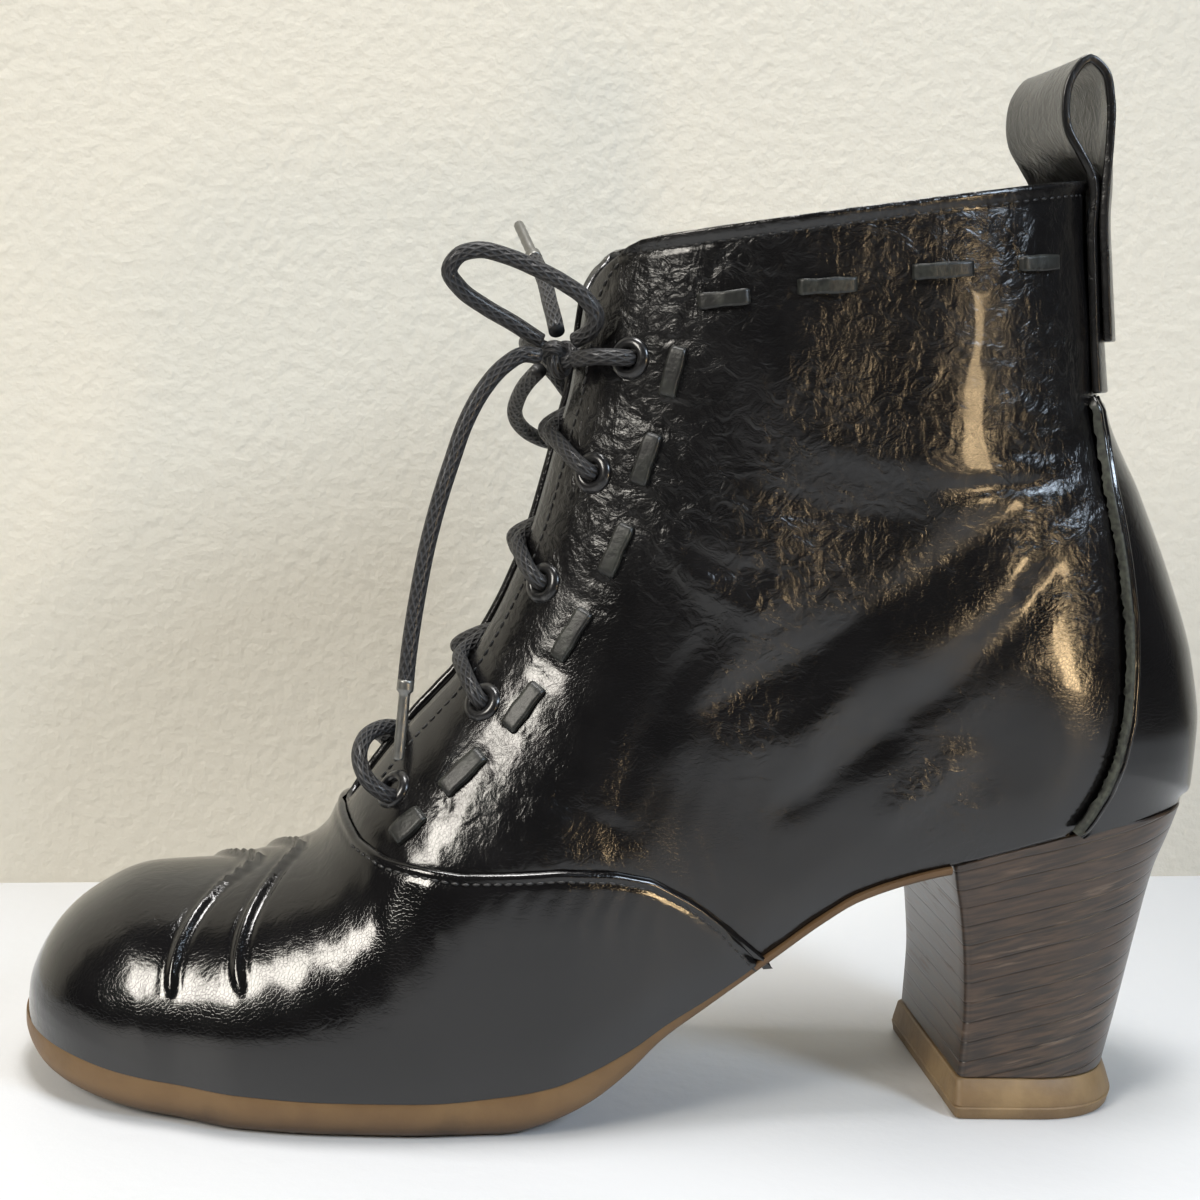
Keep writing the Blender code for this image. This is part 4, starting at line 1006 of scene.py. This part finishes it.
def stacked_leather():
    made, shader, start = new_material("stacked_heel")
    where = start.object_space()
    split = where.axis("X")
    height = where.axis("Z")
    wander = start.noise(where, 30.0, 2.0) * 0.0016
    level = (height - split * LIFT_SLOPE + wander) / LIFT_THICK
    lift = level.math("FRACT", level)
    line = 1.0 - lift.math("ABSOLUTE", lift - 0.5).ramp(0.0, 0.07)
    number = {"W": level.math("FLOOR", level)}
    which = start.node("ShaderNodeTexWhiteNoise", {"noise_dimensions": "1D"}, number)
    slant = {"X": split, "Y": where.axis("Y"), "Z": (height - split * LIFT_SLOPE) * 9.0}
    streak = start.node("ShaderNodeCombineXYZ", None, slant)
    grain = start.noise(streak, 120.0, 5.0)
    brown = grain.ramp(0.35, 0.7).blend((0.013, 0.009, 0.006, 1.0), (0.058, 0.034, 0.02, 1.0))
    brown = (which * 0.35).blend(brown, (0.04, 0.022, 0.013, 1.0))
    scuffs = start.noise(streak, 60.0, 7.0)
    brown = (line * 0.45).blend(brown, (0.004, 0.003, 0.003, 1.0))
    wire(start, shader, {
        "Base Color": (scuffs.ramp(0.62, 0.74) * 0.55).blend(brown, (0.16, 0.12, 0.09, 1.0)),
        "Roughness": 0.26 + grain * 0.16 + scuffs.ramp(0.6, 0.74) * 0.25,
        "Coat Weight": 0.25,
        "Coat Roughness": 0.15,
        "Normal": start.bump(line * -1.0 + grain * 0.6, 0.00016, 0.7),
    })
    return made


def top_piece_rubber():
    made, shader, start = new_material("top_piece_rubber")
    where = start.object_space()
    stain = start.noise(where, 90.0, 5.0)
    wire(start, shader, {
        "Base Color": stain.ramp(0.35, 0.7).blend((0.15, 0.095, 0.045, 1.0), (0.23, 0.155, 0.075, 1.0)),
        "Roughness": 0.45 + stain * 0.2,
        "Normal": start.bump(start.noise(where, 420.0, 4.0), 0.0003, 0.5),
    })
    return made


add_piece("heel_lifts", loft_mesh(heel_rings()), stacked_leather(), ["heel_block"])
top_piece_mesh = loft_mesh(top_piece_rings())
add_piece("heel_rubber", top_piece_mesh, top_piece_rubber(), ["heel_top_piece"])

# Insole: plain tan leather inside, as the CAD part has it.
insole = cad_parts["insole"]
insole_leather, insole_shader, insole_start = new_material("insole_leather")
wire(insole_start, insole_shader, {"Base Color": (0.3, 0.2, 0.12, 1.0), "Roughness": 0.6})
insole.data.materials.clear()
insole.data.materials.append(insole_leather)

# Eyelets: five a side, pressed from thin metal and lacquered black.
EYELETS = [(-3.2, 164.9), (-9.7, 140.7), (-19.1, 116.6), (-31.3, 90.8), (-49.9, 71.2)]
EYELET_PROFILE = [
    (2.05, -2.6), (2.05, 0.3), (2.25, 0.75), (2.7, 1.0), (3.3, 1.0), (3.9, 0.75),
    (4.35, 0.3), (4.5, -0.1), (4.4, -0.5),
]


def on_leather(x, z, side, lift):
    """Points on the creased quarters, in millimetres, and their normals."""
    x, z = np.atleast_1d(x).astype(float), np.atleast_1d(z).astype(float)
    place, normal = skin(x, z, side)
    return place + normal * (lift + crease_relief(x, z, side))[..., None], normal


def eyelets_mesh():
    made = bmesh.new()
    for side in (OUTER, INNER):
        for x, z in EYELETS:
            place, normal = on_leather(x, z, side, 0.05)
            turned = Vector(normal[0]).to_track_quat("Z", "Y").to_matrix()
            rings = []
            for angle in np.linspace(0.0, 2 * pi, 40, endpoint=False):
                points = [Vector((r * cos(angle), r * sin(angle), h)) for r, h in EYELET_PROFILE]
                rings.append([made.verts.new((turned @ p + Vector(place[0])) * MM) for p in points])
            for a, b in zip(rings, rings[1:] + rings[:1]):
                for j in range(len(EYELET_PROFILE) - 1):
                    made.faces.new((a[j], a[j + 1], b[j + 1], b[j]))
    bmesh.ops.recalc_face_normals(made, faces=made.faces)
    return mesh_of(made)


def eyelet_black():
    made, shader, start = new_material("eyelet_black")
    where = start.object_space()
    wear = start.noise(where, 700.0, 4.0)
    wire(start, shader, {
        "Base Color": wear.ramp(0.55, 0.75).blend((0.012, 0.012, 0.013, 1.0), (0.05, 0.05, 0.05, 1.0)),
        "Roughness": 0.3,
        "Metallic": 0.35,
        "Coat Weight": 0.4,
    })
    return made


eyelet_nodes = [f"eyelet_{side}_{i}" for side in ("outer", "inner") for i in range(1, 6)]
add_piece("eyelet_rings", eyelets_mesh(), eyelet_black(), eyelet_nodes)

# Thong stitches: flat strips cut from raw grey green leather, woven in and out
# of slots below the collar and behind the eyelets.
THONG_HALF_WIDTH = 1.6
THONG_TIP = np.array([0.0, 0.25, 0.6, 1.1, 1.8])
THONG_ACROSS = np.array([-1.0, -1.0, -0.96, -0.6, 0.0, 0.6, 0.96, 1.0, 1.0])
THONG_DROP = np.array([1.9, 0.35, 0.06, 0.0, 0.04, 0.0, 0.06, 0.35, 1.9])


def thongs_mesh():
    made = bmesh.new()
    for side in (OUTER, INNER):
        for k, ends in enumerate(THONGS):
            start, end = np.array(ends[0]), np.array(ends[1])
            length = np.hypot(*(end - start))
            axis = (end - start) / length
            across = np.array([-axis[1], axis[0]])
            u = np.concatenate([THONG_TIP, np.linspace(2.6, length - 2.6, 8), length - THONG_TIP[::-1]])
            tip = np.clip(np.minimum(u, length - u) / 1.3, 0.0, 1.0)
            rounded = np.sqrt(1 - (1 - tip) ** 2)
            width = THONG_HALF_WIDTH * (0.72 + 0.28 * rounded) * (1.0 + 0.05 * np.sin(u * 0.9 + k))
            height = 1.25 * rounded + 0.25 * np.sin(pi * u / length)
            sideways = across * (THONG_ACROSS[:, None] * width[:, None, None])
            flat = start + axis * u[:, None, None] + sideways
            place, normal = on_leather(flat[..., 0].ravel(), flat[..., 1].ravel(), side, 0.0)
            lift = height[:, None] - THONG_DROP[None, :] - 0.5 * (tip[:, None] < 0.05)
            add_net(made, (place + normal * lift.reshape(-1, 1)).reshape(len(u), len(THONG_ACROSS), 3))
    bmesh.ops.recalc_face_normals(made, faces=made.faces)
    return mesh_of(made)


def thong_leather():
    made, shader, start = new_material("thong_leather")
    where = start.object_space()
    fibres = start.noise(where, 800.0, 6.0)
    patches = start.noise(where, 160.0, 3.0)
    grey = fibres.ramp(0.3, 0.7).blend((0.0059, 0.0067, 0.0059, 1.0), (0.0231, 0.0252, 0.021, 1.0))
    wire(start, shader, {
        "Base Color": (patches.ramp(0.4, 0.65) * 0.8).blend(grey, (0.0046, 0.0046, 0.0046, 1.0)),
        "Roughness": 0.42,
        "Normal": start.bump(fibres, 0.0002, 0.6),
    })
    return made


thong_nodes = [f"thong_{side}_{i:02d}" for side in ("outer", "inner") for i in range(1, 12)]
add_piece("thong_strips", thongs_mesh(), thong_leather(), thong_nodes)

# Stitches: waxed black thread in even rows along the vamp's edge, the folded
# collar and the throat, each stitch a small sunken capsule.
STITCH_LENGTH = 1.75
STITCH_RADIUS = 0.3


def stitch_rows_group():
    group = bpy.data.node_groups.new("stitch_row", "GeometryNodeTree")
    kinds = {
        "Geometry": "Geometry", "Pitch": "Float", "Length": "Float",
        "Radius": "Float", "Seed": "Int", "Thread": "Material",
    }
    for name, kind in kinds.items():
        group.interface.new_socket(name, in_out="INPUT", socket_type="NodeSocket" + kind)
    group.interface.new_socket("Geometry", in_out="OUTPUT", socket_type="NodeSocketGeometry")
    given, result, curve, steps, thread, turn, tilt, tilted, half, size, place, real, paint = (
        group.nodes.new(kind)
        for kind in (
            "NodeGroupInput", "NodeGroupOutput", "GeometryNodeMeshToCurve",
            "GeometryNodeCurveToPoints", "GeometryNodeMeshUVSphere",
            "FunctionNodeAlignRotationToVector", "FunctionNodeRandomValue",
            "FunctionNodeRotateRotation", "ShaderNodeMath", "ShaderNodeCombineXYZ",
            "GeometryNodeInstanceOnPoints", "GeometryNodeRealizeInstances",
            "GeometryNodeSetMaterial",
        )
    )
    steps.mode = "LENGTH"
    thread.inputs["Segments"].default_value = 8
    thread.inputs["Rings"].default_value = 6
    thread.inputs["Radius"].default_value = 1.0
    turn.axis = "X"
    tilt.data_type = "FLOAT_VECTOR"
    tilt.inputs[0].default_value = (-0.03, -0.05, -0.05)
    tilt.inputs[1].default_value = (0.03, 0.05, 0.05)
    tilted.rotation_space = "LOCAL"
    half.operation = "MULTIPLY"
    half.inputs[1].default_value = 0.5
    for source, output, target, entry in (
        (given, "Geometry", curve, "Mesh"),
        (curve, "Curve", steps, "Curve"),
        (given, "Pitch", steps, "Length"),
        (steps, "Points", place, "Points"),
        (thread, "Mesh", place, "Instance"),
        (steps, "Tangent", turn, "Vector"),
        (given, "Seed", tilt, "Seed"),
        (turn, "Rotation", tilted, "Rotation"),
        (tilt, 0, tilted, "Rotate By"),
        (tilted, "Rotation", place, "Rotation"),
        (given, "Length", half, 0),
        (half, 0, size, "X"),
        (given, "Radius", size, "Y"),
        (given, "Radius", size, "Z"),
        (size, "Vector", place, "Scale"),
        (place, "Instances", real, "Geometry"),
        (real, "Geometry", paint, "Geometry"),
        (given, "Thread", paint, "Material"),
        (paint, "Geometry", result, "Geometry"),
    ):
        group.links.new(source.outputs[output], target.inputs[entry])
    return group


def stitch_row(name, route, pitch, group, thread):
    """A row of stitches along a line of points in millimetres."""
    mesh = bpy.data.meshes.new(name)
    edges = [(i, i + 1) for i in range(len(route) - 1)]
    mesh.from_pydata((np.asarray(route) * MM).tolist(), edges, [])
    made = bpy.data.objects.new(name, mesh)
    bpy.context.scene.collection.objects.link(made)
    rows = made.modifiers.new("stitches", "NODES")
    rows.node_group = group
    values = {
        "Pitch": pitch * MM, "Length": STITCH_LENGTH * MM, "Radius": STITCH_RADIUS * MM,
        "Seed": 7, "Thread": thread,
    }
    for item in group.interface.items_tree:
        if item.in_out == "INPUT" and item.name in values:
            rows[item.identifier] = values[item.name]
    mesh = settle(made)
    mesh.polygons.foreach_set("use_smooth", [True] * len(mesh.polygons))
    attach(made, "root")
    return made


def inset_line(line, inset):
    """A side-view line moved to its left by an inset."""
    line = np.array(line, dtype=float)
    way = distances(line)
    at = np.linspace(0.0, way[-1], int(way[-1]))
    line = np.stack([np.interp(at, way, line[:, k]) for k in (0, 1)], axis=1)
    along = np.gradient(line, axis=0)
    even = np.ones(7) / 7
    along = np.stack([np.convolve(np.pad(part, 3, "edge"), even, "valid") for part in along.T], axis=1)
    along /= np.hypot(*along.T)[:, None]
    return line + np.stack([along[:, 1], -along[:, 0]], axis=1) * inset


thread_black, thread_shader, thread_start = new_material("thread_black")
wire(thread_start, thread_shader, {"Base Color": (0.012, 0.012, 0.012, 1.0), "Roughness": 0.45})
rows_group = stitch_rows_group()
for side, word in ((OUTER, "outer"), (INNER, "inner")):
    line = inset_line(VAMP_EDGE[3:], VAMP_SEAM)
    place, normal = skin(line[:, 0], line[:, 1], side)
    place += normal * (vamp_relief(line[:, 0], line[:, 1], side) + 0.05)[:, None]
    stitch_row(f"vamp_stitches_{word}", place, 2.2, rows_group, thread_black)
    x = np.linspace(-4.0, 94.0, 100)
    z = collar_z(x) - COLLAR_SEAM
    place, normal = skin(x, z, side)
    place += normal * (upper_relief(x, z, side) + 0.02)[:, None]
    stitch_row(f"collar_stitches_{word}", place, 2.5, rows_group, thread_black)
    rows = np.linspace(12.2, 26.5, 90)
    line = np.array([along_section(row, side, throat_start(row, side), 2, (2.3,))[0] for row in rows])
    place, normal = on_leather(line[:, 0], line[:, 1], side, 0.05)
    stitch_row(f"throat_stitches_{word}", place, 2.3, rows_group, thread_black)

# Laces: round braided cord, waxed black, 3.5 mm thick, run through the
# eyelets, crossed in the throat and tied in a bow at the top pair.
LACE = 3.5
KNOT = (-17.0, -12.5, 164.4)
LOOP_OUTER = [
    (-14.1, -15.4, 168.2), (-11.4, -18.4, 170.2), (-10.4, -20.2, 173.0), (-12.8, -20.6, 176.6),
    (-17.2, -20.2, 179.6), (-23.4, -19.4, 182.6), (-29.6, -18.8, 184.9), (-35.4, -18.5, 185.9),
    (-39.4, -18.2, 184.6), (-41.2, -17.6, 181.4), (-39.0, -16.8, 178.2), (-33.4, -15.4, 174.4),
    (-27.2, -14.0, 171.2), (-21.3, -12.8, 167.7),
]
END_OUTER = [
    (-21.6, -15.3, 164.6), (-25.2, -16.4, 164.8), (-29.0, -17.2, 162.4), (-33.2, -18.2, 157.4),
    (-36.8, -19.2, 150.4), (-39.4, -20.0, 142.4), (-41.9, -21.0, 133.8), (-43.9, -22.0, 125.4),
    (-45.4, -23.0, 117.0), (-46.6, -24.0, 108.6), (-47.4, -25.0, 101.4), (-47.9, -25.6, 94.6),
]
LOOP_INNER = [
    (-21.2, -10.2, 161.6), (-23.4, -4.0, 158.4), (-24.6, 3.0, 155.0), (-24.8, 9.6, 151.6),
    (-23.2, 15.8, 148.6), (-19.8, 21.0, 146.0), (-15.4, 25.2, 144.4), (-11.0, 28.6, 144.4),
    (-8.2, 30.0, 148.0), (-9.4, 28.8, 153.0), (-13.0, 25.4, 158.0), (-17.6, 19.2, 162.6),
    (-21.8, 11.0, 165.8), (-23.2, 2.6, 167.4), (-22.6, -4.2, 167.4), (-20.3, -8.6, 166.2),
]
END_INNER = [
    (-17.8, -11.2, 169.9), (-18.2, -8.2, 172.4), (-18.8, -2.6, 175.9), (-19.6, 5.4, 181.0),
    (-21.6, 15.4, 186.8),
]
TO_KNOT_OUTER = [(-9.8, -22.4, 165.0), (-14.2, -17.2, 164.3)]
TO_KNOT_INNER = [(-12.0, 18.4, 165.2), (-17.6, 10.0, 164.6), (-18.6, 1.0, 163.8), (-17.4, -7.3, 163.4)]
SLACK_BOTTOM = [
    (-49.6, -19.2, 69.6), (-51.2, -22.4, 70.8), (-55.0, -22.6, 73.6), (-57.2, -19.6, 77.6),
    (-56.4, -14.4, 81.0), (-52.6, -8.0, 82.2), (-48.2, -2.0, 80.8), (-44.0, 4.0, 79.6), (-39.6, 7.6, 79.0),
]
AGLET_LENGTH = 15.0
AGLET_RADIUS = 1.2
TUBE_SIDES = 18
CROSSINGS = 4


def even_route(points, step=0.8):
    points = np.array(points, dtype=float)
    way = distances(points)
    fine = catmull(way, points, np.linspace(0.0, way[-1], 40 * len(points)))
    way = distances(fine)
    at = np.linspace(0.0, way[-1], int(way[-1] / step) + 2)
    return np.stack([np.interp(at, way, fine[:, k]) for k in range(3)], axis=1)


def tube_mesh(route, radius):
    """A round cord along a route, with u around it and v along it in metres."""
    route = np.asarray(route)
    way = distances(route) * MM
    along = np.gradient(route, axis=0)
    along /= np.linalg.norm(along, axis=1, keepdims=True)
    out = np.cross(along[0], [0.3, 0.2, 0.93])
    out /= np.linalg.norm(out)
    verts, faces, uvs = [], [], []
    for point, ahead, size in zip(route, along, np.broadcast_to(radius, (len(route),))):
        out = out - ahead * np.dot(out, ahead)
        out /= np.linalg.norm(out)
        up = np.cross(ahead, out)
        for angle in np.arange(TUBE_SIDES) * 2 * pi / TUBE_SIDES:
            verts.append((point + (out * cos(angle) + up * sin(angle)) * size) * MM)
    for i, (near, far) in enumerate(zip(way, way[1:])):
        for j in range(TUBE_SIDES):
            a, b = i * TUBE_SIDES + j, i * TUBE_SIDES + (j + 1) % TUBE_SIDES
            faces.append((a, b, b + TUBE_SIDES, a + TUBE_SIDES))
            u, after = j / TUBE_SIDES, (j + 1) / TUBE_SIDES
            uvs += [(u, near), (after, near), (after, far), (u, far)]
    for ring, order in ((0, -1), (len(route) - 1, 1)):
        faces.append(tuple(range(ring * TUBE_SIDES, (ring + 1) * TUBE_SIDES))[::order])
        uvs += [(0.0, 0.0)] * TUBE_SIDES
    mesh = bpy.data.meshes.new("mesh")
    mesh.from_pydata([tuple(v) for v in verts], [], faces)
    layer = mesh.uv_layers.new(name="along")
    layer.data.foreach_set("uv", np.array(uvs).ravel())
    return mesh


def braid():
    """Waxed braid: strands crossing both ways round the cord."""
    made, shader, start = new_material("lace_braid")
    where = start.node("ShaderNodeUVMap", {"uv_map": "along"}, None, "UV")
    split = where.axis("X")
    run = where.axis("Y")
    one, other = (
        split.math("SINE", (split * 8.0 + run * pitch) * 6.2832) for pitch in (330.0, -330.0)
    )
    weave = one.math("MAXIMUM", one, other)
    wax = start.noise(start.object_space(), 500.0, 3.0)
    wire(start, shader, {
        # painted shade: the colour follows the weave, darker in the grooves between the strands than on
        # their crests
        "Base Color": weave.ramp(-0.2, 0.9).blend((0.004, 0.004, 0.005, 1.0), (0.022, 0.022, 0.024, 1.0)),
        "Roughness": 0.5 + wax * 0.2,
        "Coat Weight": 0.12,
        "Normal": start.bump(weave, 0.00032, 0.9),
    })
    return made


def lace_arm(level, side):
    """From inside one eyelet, out over its edge, under the other side one up."""
    low, high = EYELETS[level], EYELETS[level - 1]
    place, normal = on_leather(low[0], low[1], side, 0.0)
    place, normal = place[0], normal[0]
    lead = np.array([-0.7, 0.0, 0.7])

    def edge(z, side):
        rows = np.linspace(THROAT_ROW + 0.3, COLLAR_ROW, 200)
        row = rows[np.argmin(abs(section_point(rows, "ridge")[1] - z))]
        x, z = along_section(row, side, throat_start(row, side), 2, (0.0,))[0]
        return skin(x, z, side)[0][0]

    ahead = np.array([-0.87, 0.0, 0.48])
    over = edge(low[1] + 0.3 * (high[1] - low[1]), side) + ahead * 1.7 + np.array([0.0, side * 0.6, 0.0])
    middle = edge((low[1] + high[1]) / 2, side) - ahead * 1.4
    middle = np.array([middle[0] + 0.3 * side, 0.0, middle[2] + 0.5 * side])
    under = edge(low[1] + 0.66 * (high[1] - low[1]), -side) - ahead * 5.0
    under[1] = -side * 5.5
    end = under + np.array([2.0, -side * 5.0, 2.6])
    mouth = place + normal * 1.2 + lead * 0.3
    lean = place + (over - place) * 0.3 + normal * 2.3
    arch = (lean + over) / 2 + normal * 0.5
    return even_route([place - normal * 2.2, mouth, lean, arch, over, middle, under, end])


lace_braid = braid()
arms = []
for level in range(1, len(EYELETS)):
    for side in (OUTER, INNER):
        if (level, side) != (4, OUTER):
            arms.append(lace_arm(level, side))
arms.append(even_route(SLACK_BOTTOM))
for k, route in enumerate(arms, 1):
    stands_for = [f"lace_crossing_{k}"] if k <= CROSSINGS else ()
    add_piece(f"lace_arm_{k}", tube_mesh(route, LACE / 2), lace_braid, stands_for)
for word, side, points in (("outer", OUTER, TO_KNOT_OUTER), ("inner", INNER, TO_KNOT_INNER)):
    place, normal = on_leather(*EYELETS[0], side, 0.0)
    route = even_route([place[0] - normal[0] * 2.0, place[0] + normal[0] * 2.0, *points])
    stands_for = [f"lace_to_knot_{word}"]
    add_piece(f"lace_top_{word}", tube_mesh(route, LACE / 2), lace_braid, stands_for)
turn = np.linspace(0.0, 2 * pi, 90)
knot_route = np.stack([
    0.95 * (np.sin(turn) + 2 * np.sin(2 * turn)),
    -1.43 * np.sin(3 * turn),
    np.cos(turn) - 2 * np.cos(2 * turn),
], axis=1)
knot_mesh = tube_mesh(np.array(KNOT) + knot_route, 1.65)
add_piece("lace_knot_turns", knot_mesh, lace_braid, ["lace_knot"])

steel, steel_shader, steel_start = new_material("aglet_steel")
steel_where = steel_start.object_space()
wire(steel_start, steel_shader, {
    "Base Color": (0.2, 0.2, 0.19, 1.0),
    "Metallic": 0.9,
    "Roughness": steel_start.noise(steel_where, 400.0, 3.0) * 0.3 + 0.22,
})
loops = {"outer": (LOOP_OUTER, END_OUTER), "inner": (LOOP_INNER, END_INNER)}
for word, (loop_points, end_points) in loops.items():
    for kind, points in (("loop", loop_points), ("end", end_points)):
        name = f"lace_{kind}_{word}_cord"
        route = even_route(points)
        made = add_piece(name, tube_mesh(route, LACE / 2), lace_braid, [f"lace_{kind}_{word}"])
        tip = []
        if kind == "end":
            way = (route[-1] - route[-3]) / np.linalg.norm(route[-1] - route[-3])
            steps = np.linspace(-2.0, AGLET_LENGTH, 30)
            radius = np.where(steps < 0.5, 1.75, AGLET_RADIUS) + 0.06 * (np.sin(steps * 2.0) > 0.6)
            radius = np.where(steps < 0, 1.8, radius)
            aglet = tube_mesh(route[-1] + way * steps[:, None], radius)
            tip = [add_piece(f"aglet_{word}_tip", aglet, steel, [f"aglet_{word}"])]
        tuple(route[0] * MM)
        "fitting" if kind == "end" else "object"
        "hanging" if (kind, word) == ("end", "outer") else "loose"
        (route * MM).tolist()

# Studio: a pale plain floor with a wall close behind, a soft window light
# from the front left, a cool one from the right, a small warm one low on the
# right and one over the top. The wall is clear when it is seen from behind.
WALL_AT, WALL_TURN = 0.1415, 0.075


def paint(name, colour, roughness, grain):
    made, shader, start = new_material(name)
    where = start.object_space()
    bumps = start.noise(where, 260.0, 5.0)
    wire(start, shader, {
        "Base Color": (*colour, 1.0),
        "Roughness": roughness,
        "Normal": start.bump(bumps, grain, 0.5),
    })
    return made


def flat_board(name, corners, finish):
    mesh = bpy.data.meshes.new(name)
    mesh.from_pydata(corners, [], [(0, 1, 2, 3)])
    mesh.materials.append(finish)
    made = bpy.data.objects.new(name, mesh)
    bpy.context.scene.collection.objects.link(made)
    return made


floor_paint = paint("floor_paint", (0.58, 0.59, 0.605), 0.5, 0.0003)
floor = flat_board("floor", [(-3, -3, 0), (3, -3, 0), (3, 3, 0), (-3, 3, 0)], floor_paint)
wall_paint = paint("wall_paint", (0.66, 0.63, 0.55), 0.75, 0.0012)
wall_start = Shade(wall_paint.node_tree)
seen_behind = wall_start.node("ShaderNodeNewGeometry", None, None, "Backfacing")
wire(wall_start, wall_paint.node_tree.nodes["Principled BSDF"], {"Alpha": 1.0 - seen_behind})
wall_edge = ((-1.5, -0.01), (1.5, -0.01), (1.5, 1.6), (-1.5, 1.6))
back_wall = flat_board("back_wall", [(x, WALL_AT + WALL_TURN * x, z) for x, z in wall_edge], wall_paint)


def softbox(name, place, aim, size, power, colour, spread):
    light = bpy.data.lights.new(name, "AREA")
    light.spread = radians(spread)
    light.shape = "RECTANGLE"
    light.size, light.size_y = size
    light.energy = power
    light.color = colour
    made = bpy.data.objects.new(name, light)
    way = Vector(aim) - Vector(place)
    made.matrix_world = Matrix.Translation(place) @ way.to_track_quat("-Z", "Y").to_matrix().to_4x4()
    bpy.context.scene.collection.objects.link(made)


softbox("key", (-0.8, -0.62, 0.72), (-0.02, 0.05, 0.08), (0.34, 0.5), 4.2, (1.0, 0.95, 0.86), 110)
softbox("top", (-0.05, 0.02, 1.15), (0.0, 0.06, 0.0), (0.6, 0.3), 2.6, (1.0, 0.98, 0.96), 70)
softbox("cool", (0.62, -0.55, 0.62), (0.06, 0.0, 0.15), (0.22, 0.3), 1.5, (0.72, 0.85, 1.0), 90)
softbox("amber", (0.56, -0.74, 0.1), (0.09, 0.0, 0.09), (0.1, 0.14), 0.16, (1.0, 0.72, 0.4), 60)
world = bpy.data.worlds.new("world")
world.use_nodes = True
sky = world.node_tree.nodes["Background"]
sky.inputs["Color"].default_value = (0.95, 0.95, 0.97, 1.0)
sky.inputs["Strength"].default_value = 0.05
bpy.context.scene.world = world
bpy.context.scene.view_settings.view_transform = "Standard"
